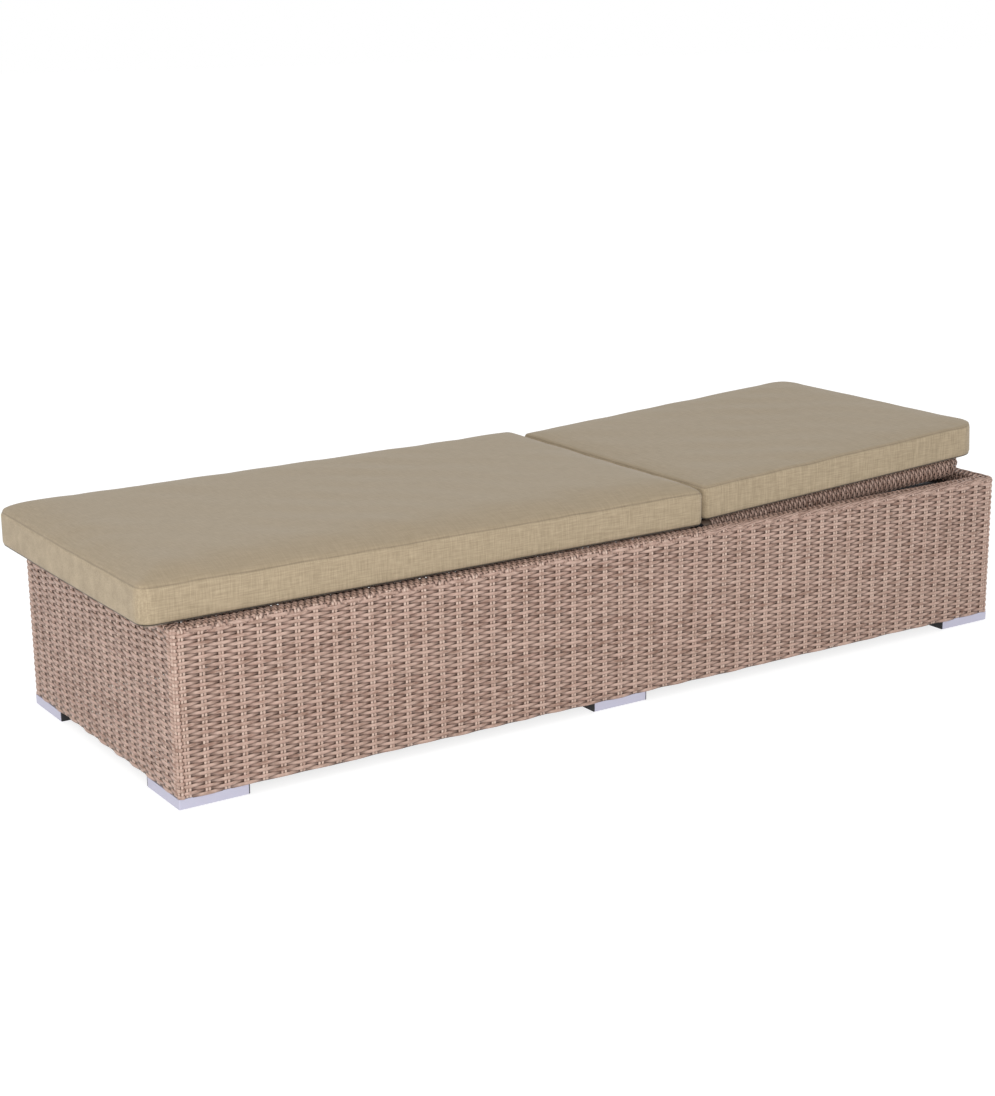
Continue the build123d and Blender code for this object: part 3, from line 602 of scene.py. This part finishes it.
deck_run = 2 * top_run + right_face - left_face - 2 * (SKIN_MIDDLE + RIM_BEND)
deck_line = deck_end - SKIN_MIDDLE - FOLD_BEND
deck_top = rim_top - SKIN_MIDDLE
deck_rows = spaced(foot_end + RIM_WIDTH, deck_line, WRAP_PITCH)
fold_rows = spaced(deck_line + FOLD_START, deck_line + FOLD_BEND + FOLD_DROP, WRAP_PITCH)
stake_lines = spaced(left_face + RIM_WIDTH, right_face - RIM_WIDTH, STAKE_PITCH)
stake_half = PAIR_HALF + CORE_WIDTH / 2


def over_deck(x, run, off):
    """Points of a weaver over both rims and the deck between them."""
    near = np.minimum(run, deck_run - run)
    side = np.where(run < deck_run / 2, -1, 1)
    depth, height, out, top = rim_section(near, DECK_FLAT)
    lean = DECK_LEAN * np.clip(1 - near / top_run, 0, 1) ** 2
    spot = np.stack([x + lean, side * (right_face - depth + off * out), height + off * top], -1)
    return spot, np.stack([0 * run, side * out, top], -1)


def down_fold(run, off):
    """Where the deck's length bends down over its last bar: x, height and facing."""
    turn = np.clip((run - deck_line) / FOLD_BEND, 0, math.pi / 2)
    drop = np.clip(run - deck_line - FOLD_BEND * math.pi / 2, 0, None)
    x = np.minimum(run, deck_line) + (FOLD_BEND + off) * np.sin(turn)
    z = deck_top - FOLD_BEND + (FOLD_BEND + off) * np.cos(turn) - drop
    return x, z, np.sin(turn), np.cos(turn)


def over_stakes(start, stakes, stop, row):
    """Rings and levels of a weaver from one edge to the other, over and under the stakes in turn."""
    halves = [CORE_HALF] + [stake_half] * len(stakes) + [CORE_HALF]
    return weaver_steps([start, *stakes, stop], halves, over_under(row))


edge_runs = [0.0, *DECK_CORES]
stake_runs = [y - left_face - SKIN_MIDDLE - RIM_BEND + top_run for y in stake_lines]
deck_crossings = edge_runs + stake_runs + [deck_run - run for run in reversed(edge_runs)]
edge_halves = [CORE_HALF] * len(edge_runs)
deck_halves = edge_halves + [stake_half] * len(stake_runs) + edge_halves
across_deck = []
for i, x in enumerate(deck_rows):
    run, level = weaver_steps(deck_crossings, deck_halves, over_under(i))
    off = WRAP_LIFT * level - tucked(np.minimum(run, deck_run - run))
    across_deck.append((*over_deck(x, run, off), level))
fold_edge = RIM_WIDTH - SKIN_MIDDLE
for i, row in enumerate(fold_rows, len(deck_rows)):
    y, level = over_stakes(left_face + fold_edge, stake_lines, right_face - fold_edge, i)
    x, z, ahead, up = down_fold(np.full(len(y), row), WRAP_LIFT * level)
    across_deck.append((np.stack([x, y, z], -1), np.stack([ahead, 0 * y, up], -1), level))
strand_piece("deck_weavers", across_deck, WRAP_WIDTH, WRAP_THICKNESS, wicker, "base", "weave_deck")

stakes = []
rows = np.array([foot_end + RIM_WIDTH / 2, *deck_rows, *fold_rows])
for j, middle in enumerate(stake_lines):
    level = over_under(np.arange(len(rows)) + j)
    x, z, ahead, up = down_fold(rows, CORE_LIFT * level)
    facing = np.stack([ahead, 0 * x, up], -1)
    for shift in (-PAIR_HALF, PAIR_HALF):
        y = np.full(len(rows), middle + shift)
        stakes.append((np.stack([x, y, z], -1), facing, level))
strand_piece("deck_stakes", stakes, CORE_WIDTH, CORE_THICKNESS, wicker_upright, "base")

# Border of the bay: each pair of uprights is laid down along the rim over the next ones and
# tucked in behind them, which gives the edge the look of a loosely laid rope.
BORDER_WIDTH = 3.3 * MM
BORDER_THICKNESS = 2.6 * MM
BORDER_LAY = 82.0 * MM
BORDER_START = 6.5 * MM
BORDER_CLIMB = 7.5 * MM
BORDER_PROUD = 2.6 * MM
BORDER_TUCK = 1.0 * MM
BORDER_UNEVEN = 0.4 * MM
BORDER_STEPS = 14
BORDER_FEWEST = 4
BORDER_PAINTED_SHADE = 1.2

# The first pairs start before the bay, each pair a little after its upright, and the second strand
# of a pair further along and higher up. A strand comes up out of the weave over a seventh of its lay
BORDER_BEFORE = 3
BORDER_SHIFT = 0.3
TWIN_LATER = 5.0 * MM
TWIN_HIGHER = 3.6 * MM
BORDER_RISES = 7

border = []
for side, corner, along, out, length in walls:
    if side == "foot":
        continue
    place, reach = wall_place(corner, along, out, length)
    first = bay_start if side == "left" else 0.0
    last = reach - bay_start if side == "right" else reach
    mitred = (side != "left", side != "right")
    count = round((last - first) / PAIR_PITCH)
    share = np.linspace(0, 1, BORDER_STEPS)
    climb = BORDER_CLIMB * share * share * (3 - 2 * share)
    rise = np.minimum(1, np.minimum(share, 1 - share) * BORDER_RISES)
    # Painted shade: a border strand is darkest at its ends, where it goes into the weave, and lighter where
    # it lies on top
    level = BORDER_PAINTED_SHADE * rise - 1
    for k in range(-BORDER_BEFORE, count):
        start = first + (k + BORDER_SHIFT) * (last - first) / count
        for twin in range(2):
            s = start + twin * TWIN_LATER + BORDER_LAY * share
            inside = (s > first) & (s < last)
            if inside.sum() < BORDER_FEWEST:
                continue
            run = BORDER_START + twin * TWIN_HIGHER + climb
            run = np.minimum(run, mitre_run(s, reach, mitred) - END_ROOM)
            off = BORDER_PROUD * rise - BORDER_TUCK + lay_out.uniform(0, BORDER_UNEVEN)
            laid = on_rim(place, s[inside], run[inside], off[inside], RIM_FLAT)
            border.append((*laid, level[inside]))
strand_piece("bay_border", border, BORDER_WIDTH, BORDER_THICKNESS, wicker, "base")

# Back's roll: one strand after another is wound round the back's tube, each for eight turns, over
# and under eleven strands laid along it. The roll is deeper below the tube than above it.
ROLL_CORES = 11
ROLL_RADIUS = 15.3 * MM
ROLL_LIFT = 1.1 * MM
ROLL_DEPTH = 1.6
ROLL_TURNS_EACH = 8
ROLL_START = 30.0 * MM
ROLL_LINE = 290.0 * MM
ROLL_BEND = 45.0 * MM
ROLL_HEAD = 750.05 * MM

# A wrap is level for 0.18 of a step between cores on both sides of each, and half a step further on
# it changes sides. The painted shade of the roll's strands: how much it follows the weave, and where
# it lies
ROLL_KNOTS = (-0.18, 0.18, 0.5)
ROLL_KNOT_LEVELS = (1, 1, 0)
ROLL_WRAP_PAINTED_SHADE = (0.45, 0.1)
ROLL_CORE_PAINTED_SHADE = (0.3, -0.7)

# The back as it lies at rest: leaning up from its hinge towards the head
REST_ANGLE = math.radians(3)
HINGE = np.array([210.5 * MM, 0.0, 326.0 * MM])
back_along = np.array([math.cos(REST_ANGLE), 0, math.sin(REST_ANGLE)])
back_across = np.array([0, 1.0, 0])
back_up = np.array([-math.sin(REST_ANGLE), 0, math.cos(REST_ANGLE)])

side_run = ROLL_HEAD - ROLL_BEND - ROLL_START
turn_run = ROLL_BEND * math.pi / 2
head_run = 2 * (ROLL_LINE - ROLL_BEND)
roll_run = 2 * side_run + 2 * turn_run + head_run


def on_back(u, v, w):
    """Points given along, across and above the back's own plane."""
    u, v, w = np.broadcast_arrays(u, v, w)
    return HINGE + u[..., None] * back_along + v[..., None] * back_across + w[..., None] * back_up


def tube_line(run):
    """The tube's middle at a length along it from the left-hand hinge, and the way outwards."""
    first = np.clip((run - side_run) / ROLL_BEND, 0, math.pi / 2)
    second = np.clip((run - side_run - turn_run - head_run) / ROLL_BEND, 0, math.pi / 2)
    up_side = np.clip(run, 0, side_run)
    over = np.clip(run - side_run - turn_run, 0, head_run)
    down_side = np.clip(run - side_run - 2 * turn_run - head_run, 0, side_run)
    bends = ROLL_BEND * np.sin(first) - ROLL_BEND * (1 - np.cos(second))
    u = ROLL_START + up_side + bends - down_side
    v = -ROLL_LINE + ROLL_BEND * (1 - np.cos(first)) + over + ROLL_BEND * np.sin(second)
    return u, v, np.sin(first + second), -np.cos(first + second)


def round_tube(run, turn, radius):
    """Points round the tube and their facings."""
    u, v, out_u, out_v = tube_line(run)
    out, up = np.cos(turn), np.sin(turn)
    deeper = np.where(up < 0, ROLL_DEPTH, 1.0)
    spot = on_back(u + radius * out * out_u, v + radius * out * out_v, radius * up * deeper)
    facing = (out * out_u)[:, None] * back_along + (out * out_v)[:, None] * back_across
    return spot, facing + (up / deeper)[:, None] * back_up


def roll_strand(knot, turn, off, level, shade):
    """A strand of the roll: the cores that it has passed, its turn, how far off it is and its painted shade.
    """
    spots = round_tube(knot / ROLL_CORES * WRAP_PITCH, turn, ROLL_RADIUS + off)
    follows, lies = shade
    return *spots, follows * level + lies


core_angle = 2 * math.pi / ROLL_CORES
turns = int(roll_run / WRAP_PITCH)
passed = np.arange(turns * ROLL_CORES)[:, None]
knots = (passed + np.array(ROLL_KNOTS)).ravel()[1:]
levels = (over_under(passed) * np.array(ROLL_KNOT_LEVELS)).ravel()[1:]
each = ROLL_TURNS_EACH * ROLL_CORES * len(ROLL_KNOTS)
roll_wraps = []
for first in range(0, len(knots) - 1, each):
    knot, level = knots[first:first + each + 1], levels[first:first + each + 1]
    roll_wraps.append(roll_strand(knot, -knot * core_angle, ROLL_LIFT * level, level, ROLL_WRAP_PAINTED_SHADE))
roll_cores = []
for j in range(ROLL_CORES):
    knot = np.arange(turns) * ROLL_CORES + j
    level = -over_under(knot)
    turn = np.full(turns, -j * core_angle)
    roll_cores.append(roll_strand(knot, turn, CORE_LIFT * (level - 1), level, ROLL_CORE_PAINTED_SHADE))
strand_piece("back_roll_wraps", roll_wraps, WRAP_WIDTH, WRAP_THICKNESS, wicker, "backrest",
             "back_wrap_left", "back_wrap_right", "back_wrap_head")
strand_piece("back_roll_cores", roll_cores, CORE_WIDTH, CORE_THICKNESS, wicker, "backrest")

# Back's mat: a woven mat closes the space between the side tubes, level with their tops. Its weavers
# go over and under pairs of stakes as on the deck, and their ends dip in beside the roll.
MAT_HEIGHT = 15.3 * MM
MAT_OVERLAP = 2.0 * MM
MAT_DIP = 6.0 * MM

mat_edge = ROLL_LINE - ROLL_RADIUS + MAT_OVERLAP
mat_rows = spaced(ROLL_START, ROLL_HEAD - ROLL_RADIUS, WRAP_PITCH)
mat_lines = spaced(-mat_edge, mat_edge, STAKE_PITCH)
mat_weavers, mat_stakes = [], []
for i, u in enumerate(mat_rows):
    v, level = over_stakes(-mat_edge, mat_lines, mat_edge, i)
    dip = np.clip((np.abs(v) - mat_edge + MAT_DIP) / MAT_DIP, 0, 1)
    spot = on_back(u, v, MAT_HEIGHT + WRAP_LIFT * level * (1 - dip) - MAT_DIP * dip)
    mat_weavers.append((spot, np.tile(back_up, (len(v), 1)), level))
for j, v in enumerate(mat_lines):
    level = over_under(np.arange(len(mat_rows)) + j)
    for shift in (-PAIR_HALF, PAIR_HALF):
        spot = on_back(np.array(mat_rows), v + shift, MAT_HEIGHT + CORE_LIFT * level)
        mat_stakes.append((spot, np.tile(back_up, (len(mat_rows), 1)), level))
strand_piece("mat_weavers", mat_weavers, WRAP_WIDTH, WRAP_THICKNESS, wicker, "backrest", "back_mat")
strand_piece("mat_stakes", mat_stakes, CORE_WIDTH, CORE_THICKNESS, wicker_upright, "backrest")

# Pads: foam in sewn covers of linen-look polyester, khaki. Each cover is a top, a bottom and a
# boxing strip between them, so two seams run all round. The seat's pad lies on the deck, and
# the back's pad is loose on the back.
PAD_KHAKI = "#A4937A"
PAD_SLUB = "#92836A"
# The lighter tones of the pads' upright faces are painted light, as if the sides were lit more than the tops
PAD_SIDE_LIT_KHAKI = "#BAA88C"
PAD_SIDE_LIT_SLUB = "#93836A"
PAD_SEAM_AND_FOLD_SHADE = "#3A2F22"
THREAD = 2.381 * MM
SLUB_LENGTH = 33.33 * MM
THREAD_RELIEF = 0.6 * MM
PAD_GRID = 10.0 * MM
PAD_THICKNESS = 74.0 * MM
PAD_END_BOW = 2.5 * MM
PAD_SIDE_BOW = 2.0 * MM
PAD_SWELL = 5.0 * MM
PAD_SHRINK = 3.0 * MM
PAD_LIFT = 0.6 * MM
SEAM_DEPTH = 1.6 * MM
SEAM_SHARPNESS = 1.4

# Foam under a loose cover dents in shallow waves, so many, each with so many radians to the metre
DENT = 0.6 * MM
DENT_COUNT = 6
DENT_TURNS = (20, 60)
DENT_PHASE = (0, 6.28)

# The crown rises within a third of the way to the middle, steeply at first
CROWN_SHARE = 0.35
CROWN_STEEPNESS = 6

# How the cover is filled: the pressure inside, its weight and how long it is given to settle
FILL_PRESSURE = 4.0
FILL_MASS = 0.3
FILL_QUALITY = 4
FILL_FRAMES = 20

# Each pad: width, how far it lies to the right of the middle, the rise of its top, its corners' radius
SEAT_PAD_WIDTH = 697.0 * MM
SEAT_PAD_SHIFT = 17.5 * MM
SEAT_PAD_PROUD = 6.0 * MM
SEAT_CROWN = 22.0 * MM
SEAT_CORNER = 28.0 * MM
GAP_CORNER = 10.0 * MM
BACK_PAD_WIDTH = 662.0 * MM
BACK_PAD_SHIFT = 9.0 * MM
BACK_PAD_START = 3.0 * MM
BACK_PAD_LENGTH = 784.0 * MM
BACK_CROWN = 1.0 * MM
BACK_CORNER = 55.0 * MM
WRAP_TOP = 18.0 * MM

# Woven cover cloth: slubs along both threads, plainer to see on the boxing strip, whose lighter tones
# are painted light. The real threads are under 1 mm, drawn here at over 2 mm so that they show
linen, tree, shader = new_material("linen_look_polyester", {
    "Roughness": 0.9, "Sheen Weight": 0.15, "Sheen Roughness": 0.5, "IOR": 1.5})
place_node = add_node(tree, "ShaderNodeTexCoord")
threads = []
for cell in ((SLUB_LENGTH, THREAD, THREAD), (THREAD, SLUB_LENGTH, SLUB_LENGTH)):
    lay = add_node(tree, "ShaderNodeMapping", None, {
        "Vector": place_node.outputs["Object"], "Scale": [1 / size for size in cell]})
    made = add_node(tree, "ShaderNodeTexNoise", None, {
        "Vector": lay.outputs[0], "Scale": 1.0, "Detail": 3.0})
    threads.append(made.outputs[0])
both = add_node(tree, "ShaderNodeMath", {"operation": "ADD"}, {0: threads[0], 1: threads[1]})
slubs = add_node(tree, "ShaderNodeMapRange", None, {
    "Value": both.outputs[0], "From Min": 0.6, "From Max": 1.4})
tones = []
for slub, khaki in ((PAD_SLUB, PAD_KHAKI), (PAD_SIDE_LIT_SLUB, PAD_SIDE_LIT_KHAKI)):
    tone = add_node(tree, "ShaderNodeMix", {"data_type": "RGBA"}, {
        SHARE: slubs.outputs[0], FIRST: linear(slub), SECOND: linear(khaki)})
    tones.append(tone.outputs[MIXED])
# Upright faces take the lighter tones: painted light, as if the boxing strip were lit more than the top
way = add_node(tree, "ShaderNodeSeparateXYZ", None, {0: place_node.outputs["Normal"]})
upright = add_node(tree, "ShaderNodeMapRange", None, {
    "Value": way.outputs[2], "From Min": 0.75, "From Max": 0.35})
cloth = add_node(tree, "ShaderNodeMix", {"data_type": "RGBA"}, {
    SHARE: upright.outputs[0], FIRST: tones[0], SECOND: tones[1]})
# Dark line along the seams: at the upper seam the seam's own stitching with some painted shade, at the lower
# seam wider and darker, painted shade in the fold under the pad
seam = add_node(tree, "ShaderNodeAttribute", {"attribute_name": "seam"})
line = add_node(tree, "ShaderNodeMapRange", None, {
    "Value": seam.outputs["Fac"], "From Min": 0.72, "From Max": 1.6})
sewn = add_node(tree, "ShaderNodeMix", {"data_type": "RGBA"}, {
    SHARE: line.outputs[0], FIRST: cloth.outputs[MIXED], SECOND: linear(PAD_SEAM_AND_FOLD_SHADE)})
tree.links.new(sewn.outputs[MIXED], shader.inputs["Base Color"])
bump = add_node(tree, "ShaderNodeBump", None, {
    "Height": both.outputs[0], "Strength": 0.35, "Distance": THREAD_RELIEF})
tree.links.new(bump.outputs[0], shader.inputs["Normal"])


def pad_plan(a, b, length, width, corner):
    """A point of a bowed rectangle with round corners, for shares a and b from -1 to 1."""
    half_length, half_width = length / 2, width / 2
    x, y = abs(a) * half_length, abs(b) * half_width
    u = (x - half_length + corner) / corner
    v = (y - half_width + corner) / corner
    if u > 0 and v > 0:
        x = half_length - corner + corner * u * math.sqrt(1 - v * v / 2)
        y = half_width - corner + corner * v * math.sqrt(1 - u * u / 2)
    x -= abs(a) * PAD_END_BOW * (y / half_width) ** 2
    y -= abs(b) * PAD_SIDE_BOW * (x / half_length) ** 2
    return math.copysign(x, a), math.copysign(y, b)


def pad_mesh(name, length, width, thickness, crown, corners):
    """A box pad in square patches on its own middle, its underside at 0. A point's seam value is
    1 on the upper seam and 2 on the lower one, which lies in the fold, so that its pinch and its dark line
    are wider there; that wider dark line is painted shade."""
    counts = [round(side / PAD_GRID) for side in (length, width, thickness)]
    bm = bmesh.new()
    seam = bm.verts.layers.float.new("seam")
    made = {}
    chance = random.Random(len(name))
    waves = [(chance.uniform(*DENT_TURNS), chance.uniform(*DENT_TURNS), chance.uniform(*DENT_PHASE))
             for _ in range(DENT_COUNT)]

    def point(i, j, k):
        """The point at a corner of the patches, made when it is first asked for."""
        if (i, j, k) not in made:
            a, b, c = (2 * n / m - 1 for n, m in zip((i, j, k), counts))
            x, y = pad_plan(a, b, length, width, corners[0] if a < 0 else corners[1])
            height = (c + 1) / 2
            inside = min(1 - abs(a), (1 - abs(b)) * width / length, CROWN_SHARE) / CROWN_SHARE
            rise = height * crown * (1 - (1 - inside) ** CROWN_STEEPNESS)
            ripple = sum(math.sin(p * x + q * y + r) for p, q, r in waves)
            dent = DENT * ripple / (DENT_COUNT / 2) * height
            vert = bm.verts.new((x, y, height * thickness + rise + dent))
            on_seam = abs(c) == 1 and (abs(a) == 1 or abs(b) == 1)
            vert[seam] = (3 - c) / 2 if on_seam else 0.0
            made[i, j, k] = vert
        return made[i, j, k]

    def patch(*spots):
        bm.faces.new([point(*spot) for spot in spots])

    nx, ny, nz = counts
    for i in range(nx):
        for j in range(ny):
            patch((i, j, nz), (i + 1, j, nz), (i + 1, j + 1, nz), (i, j + 1, nz))
            patch((i, j, 0), (i, j + 1, 0), (i + 1, j + 1, 0), (i + 1, j, 0))
    for k in range(nz):
        for i in range(nx):
            patch((i, 0, k), (i + 1, 0, k), (i + 1, 0, k + 1), (i, 0, k + 1))
            patch((i, ny, k), (i, ny, k + 1), (i + 1, ny, k + 1), (i + 1, ny, k))
        for j in range(ny):
            patch((0, j, k), (0, j, k + 1), (0, j + 1, k + 1), (0, j + 1, k))
            patch((nx, j, k), (nx, j + 1, k), (nx, j + 1, k + 1), (nx, j, k + 1))
    mesh = bpy.data.meshes.new(name)
    bm.to_mesh(mesh)
    bm.free()
    mesh.materials.append(linen)
    return mesh


def coordinates(mesh):
    """A mesh's points as an array."""
    flat = np.empty(len(mesh.vertices) * 3, np.float32)
    mesh.vertices.foreach_get("co", flat)
    return flat.reshape(-1, 3)


def swell(piece):
    """Fills the cover: pressure from inside moves the cloth out, by the swell at most, and it stays
    flat below."""
    start = coordinates(piece.data)
    cloth = piece.modifiers.new("fill", "CLOTH")
    cloth.settings.use_pressure = True
    cloth.settings.uniform_pressure_force = FILL_PRESSURE
    cloth.settings.quality = FILL_QUALITY
    cloth.settings.mass = FILL_MASS
    cloth.settings.effector_weights.gravity = 0.0
    for number in range(FILL_FRAMES):
        scene.frame_set(number + 1)
    filled = piece.evaluated_get(bpy.context.evaluated_depsgraph_get()).to_mesh()
    moved = coordinates(filled) - start
    piece.to_mesh_clear()
    piece.modifiers.remove(cloth)
    scene.frame_set(1)
    size = np.linalg.norm(moved, axis=1)
    size[size == 0] = 1
    moved *= (PAD_SWELL * np.tanh(size / PAD_SWELL) / size)[:, None]
    end = start + moved
    end[:, 2] = np.maximum(end[:, 2], 0)
    piece.data.vertices.foreach_set("co", end.ravel())
    piece.data.update()


def sew(piece):
    """Smooths the filled cover, then draws the cloth in along its seams."""
    smooth = piece.modifiers.new("smooth", "SUBSURF")
    smooth.levels = 1
    graph = bpy.context.evaluated_depsgraph_get()
    mesh = bpy.data.meshes.new_from_object(piece.evaluated_get(graph), depsgraph=graph)
    piece.modifiers.remove(smooth)
    old, piece.data = piece.data, mesh
    bpy.data.meshes.remove(old)
    count = len(mesh.vertices)
    seam = np.empty(count, np.float32)
    mesh.attributes["seam"].data.foreach_get("value", seam)
    normals = np.empty(count * 3, np.float32)
    mesh.vertices.foreach_get("normal", normals)
    drawn_in = SEAM_DEPTH * np.clip(seam * SEAM_SHARPNESS - (SEAM_SHARPNESS - 1), 0, 1)
    spot = coordinates(mesh) - normals.reshape(-1, 3) * drawn_in[:, None]
    mesh.vertices.foreach_set("co", spot.ravel())
    mesh.update()
    mesh.shade_smooth()


def lay_pad(name, node, body, size, crown, corners, place):
    """Makes one pad, fills and sews it, and lays it in its place."""
    length, width = size
    mesh = pad_mesh(name, length - 2 * PAD_SHRINK, width - 2 * PAD_SHRINK, PAD_THICKNESS - PAD_SHRINK,
                    crown, corners)
    piece = new_piece(name, mesh)
    swell(piece)
    sew(piece)
    spots = coordinates(piece.data)
    full = spots.max(0) - spots.min(0)
    piece.data.transform(place @ Matrix.Diagonal((length / full[0], width / full[1], 1, 1)))
    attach(piece, body)
    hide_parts(node)


seat_low, seat_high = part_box("seat_pad")
seat_foot, seat_head = seat_low.x - SEAT_PAD_PROUD, seat_high.x
seat_middle = ((seat_foot + seat_head) / 2, SEAT_PAD_SHIFT, seat_low.z + PAD_LIFT)
lay_pad("seat_cushion", "seat_pad", "base", (seat_head - seat_foot, SEAT_PAD_WIDTH), SEAT_CROWN,
        (SEAT_CORNER, GAP_CORNER), Matrix.Translation(seat_middle))
back_middle = on_back(BACK_PAD_START + BACK_PAD_LENGTH / 2, BACK_PAD_SHIFT, WRAP_TOP + PAD_LIFT)
lay_pad("back_cushion", "back_pad", "back_pad", (BACK_PAD_LENGTH, BACK_PAD_WIDTH), BACK_CROWN,
        (GAP_CORNER, BACK_CORNER),
        Matrix.Translation(back_middle) @ Matrix.Rotation(-REST_ANGLE, 4, "Y"))

# Stage: a plain pale floor, soft light from large lamps, and the camera where the photographer
# stood, about 4.4 m off and 1.4 m above the floor, with the photo's own angle of view.
PAPER_WHITE = "#F4F4F4"
PAPER_SHADOW = "#A8A8A8"
WHITE = "#FFFFFF"
FLOOR_REACH = 40.0
FLOOR_GLOW = 0.78
PAINTED_SHADOW_GLOW = 0.12
PAINTED_SHADOW_EDGE = 0.04
WORLD_LIGHT = 0.74

# The stretch of paper under the box, along X and Y, where the glow is turned down to a painted shadow.
# Daylight reaches in under the near and the foot edges, so it stops short of them
PAINTED_SHADOW_STRETCH = ((-0.87, 0.97), (-0.20, 0.32))


def seen_directly(tree):
    """1 for what the camera sees itself or in metal or glass, and 0 for what only gives light."""
    path = add_node(tree, "ShaderNodeLightPath")
    seen = path.outputs["Is Camera Ray"]
    for way in ("Is Glossy Ray", "Is Transmission Ray"):
        either = add_node(tree, "ShaderNodeMath", {"operation": "MAXIMUM"}, {
            0: seen, 1: path.outputs[way]})
        seen = either.outputs[0]
    return seen


# Matte white paper: seen directly it glows just enough to print as white where no shadow falls.
# Under the box the glow is turned down to a painted shadow
paper, tree, shader = new_material("matte_white_paper", {
    "Base Color": linear(PAPER_WHITE), "Roughness": 0.95})
place = add_node(tree, "ShaderNodeTexCoord")
spot = add_node(tree, "ShaderNodeSeparateXYZ", None, {0: place.outputs["Object"]})
glows = []
# Painted shadow: inside the stretch under the box the glow drops, as if the paper lay in shade there
for side, (start, end) in zip(spot.outputs, PAINTED_SHADOW_STRETCH):
    middle, reach = (start + end) / 2, (end - start) / 2
    off = add_node(tree, "ShaderNodeMath", {"operation": "SUBTRACT"}, {0: side, 1: middle})
    far = add_node(tree, "ShaderNodeMath", {"operation": "ABSOLUTE"}, {0: off.outputs[0]})
    made = add_node(tree, "ShaderNodeMapRange", None, {
        "Value": far.outputs[0], "From Min": reach, "From Max": reach + PAINTED_SHADOW_EDGE,
        "To Min": PAINTED_SHADOW_GLOW, "To Max": FLOOR_GLOW})
    glows.append(made.outputs[0])
strength = add_node(tree, "ShaderNodeMath", {"operation": "MAXIMUM"}, {0: glows[0], 1: glows[1]})
glow = add_node(tree, "ShaderNodeEmission", None, {
    "Color": linear(WHITE), "Strength": strength.outputs[0]})
shade = add_node(tree, "ShaderNodeBsdfDiffuse", None, {"Color": linear(PAPER_SHADOW)})
lit = add_node(tree, "ShaderNodeAddShader", None, {0: glow.outputs[0], 1: shade.outputs[0]})
both = add_node(tree, "ShaderNodeMixShader", None, {
    0: seen_directly(tree), 1: shader.outputs[0], 2: lit.outputs[0]})
tree.links.new(both.outputs[0], tree.nodes["Material Output"].inputs["Surface"])

floor_mesh = bpy.data.meshes.new("floor")
corners = [(-1, -1), (1, -1), (1, 1), (-1, 1)]
floor_mesh.from_pydata([(x * FLOOR_REACH, y * FLOOR_REACH, 0) for x, y in corners], [], [(0, 1, 2, 3)])
floor_mesh.materials.append(paper)
floor = new_piece("floor", floor_mesh)
floor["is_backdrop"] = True

# White backdrop: what is seen of the world is white, and it lights the object a little less
world = bpy.data.worlds.new("studio")
scene.world = world
world.use_nodes = True
tree = world.node_tree
tree.nodes.clear()
soft = add_node(tree, "ShaderNodeBackground", None, {"Color": linear(WHITE), "Strength": WORLD_LIGHT})
clear = add_node(tree, "ShaderNodeBackground", None, {"Color": linear(WHITE), "Strength": 1.0})
mix = add_node(tree, "ShaderNodeMixShader", None, {
    0: seen_directly(tree), 1: soft.outputs[0], 2: clear.outputs[0]})
add_node(tree, "ShaderNodeOutputWorld", None, {"Surface": mix.outputs[0]})


def lamp(name, spot, target, size, power):
    """A square soft box that looks at a point."""
    light = bpy.data.lights.new(name, "AREA")
    light.shape = "SQUARE"
    light.size = size
    light.energy = power
    piece = new_piece(name, light)
    piece.location = spot
    piece.rotation_euler = (Vector(target) - Vector(spot)).to_track_quat("-Z", "Y").to_euler()


lamp("key_light", spot=(-2.2, -4.1, 1.8), target=(-0.3, 0.0, 0.2), size=2.4, power=80.0)
lamp("fill_light", spot=(-4.4, -0.6, 1.5), target=(-0.9, 0.0, 0.2), size=2.0, power=22.0)
lamp("top_light", spot=(-1.0, 0.5, 4.0), target=(0.0, 0.0, 0.2), size=3.0, power=6.0)

# Camera: its place in metres, the way it looks in degrees, and its lens from a focal length in the
# photo's own pixels. Roll is the tilt of its horizon
CAMERA_SPOT = (-2.3115, -3.4336, 1.3637)
CAMERA_YAW, CAMERA_PITCH, CAMERA_ROLL = 33.006, 15.025, -0.617
FOCAL_PIXELS = 2026.0
PHOTO_WIDTH = 995
SENSOR_WIDTH = 36.0

view = bpy.data.cameras.new("camera")
view.sensor_fit = "HORIZONTAL"
view.sensor_width = SENSOR_WIDTH
view.lens = FOCAL_PIXELS / PHOTO_WIDTH * SENSOR_WIDTH
camera = new_piece("camera", view)
camera.location = CAMERA_SPOT
yaw, pitch, roll = (math.radians(a) for a in (CAMERA_YAW, CAMERA_PITCH, CAMERA_ROLL))
ahead = Vector((math.sin(yaw) * math.cos(pitch), math.cos(yaw) * math.cos(pitch), -math.sin(pitch)))
level = Vector((math.cos(yaw), -math.sin(yaw), 0))
upward = level.cross(ahead)
right = level * math.cos(roll) + upward * math.sin(roll)
above = upward * math.cos(roll) - level * math.sin(roll)
camera.rotation_mode = "QUATERNION"
camera.rotation_quaternion = Matrix((right, above, -ahead)).transposed().to_quaternion()
scene.camera = camera
scene.view_settings.view_transform = "Standard"

low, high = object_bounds()
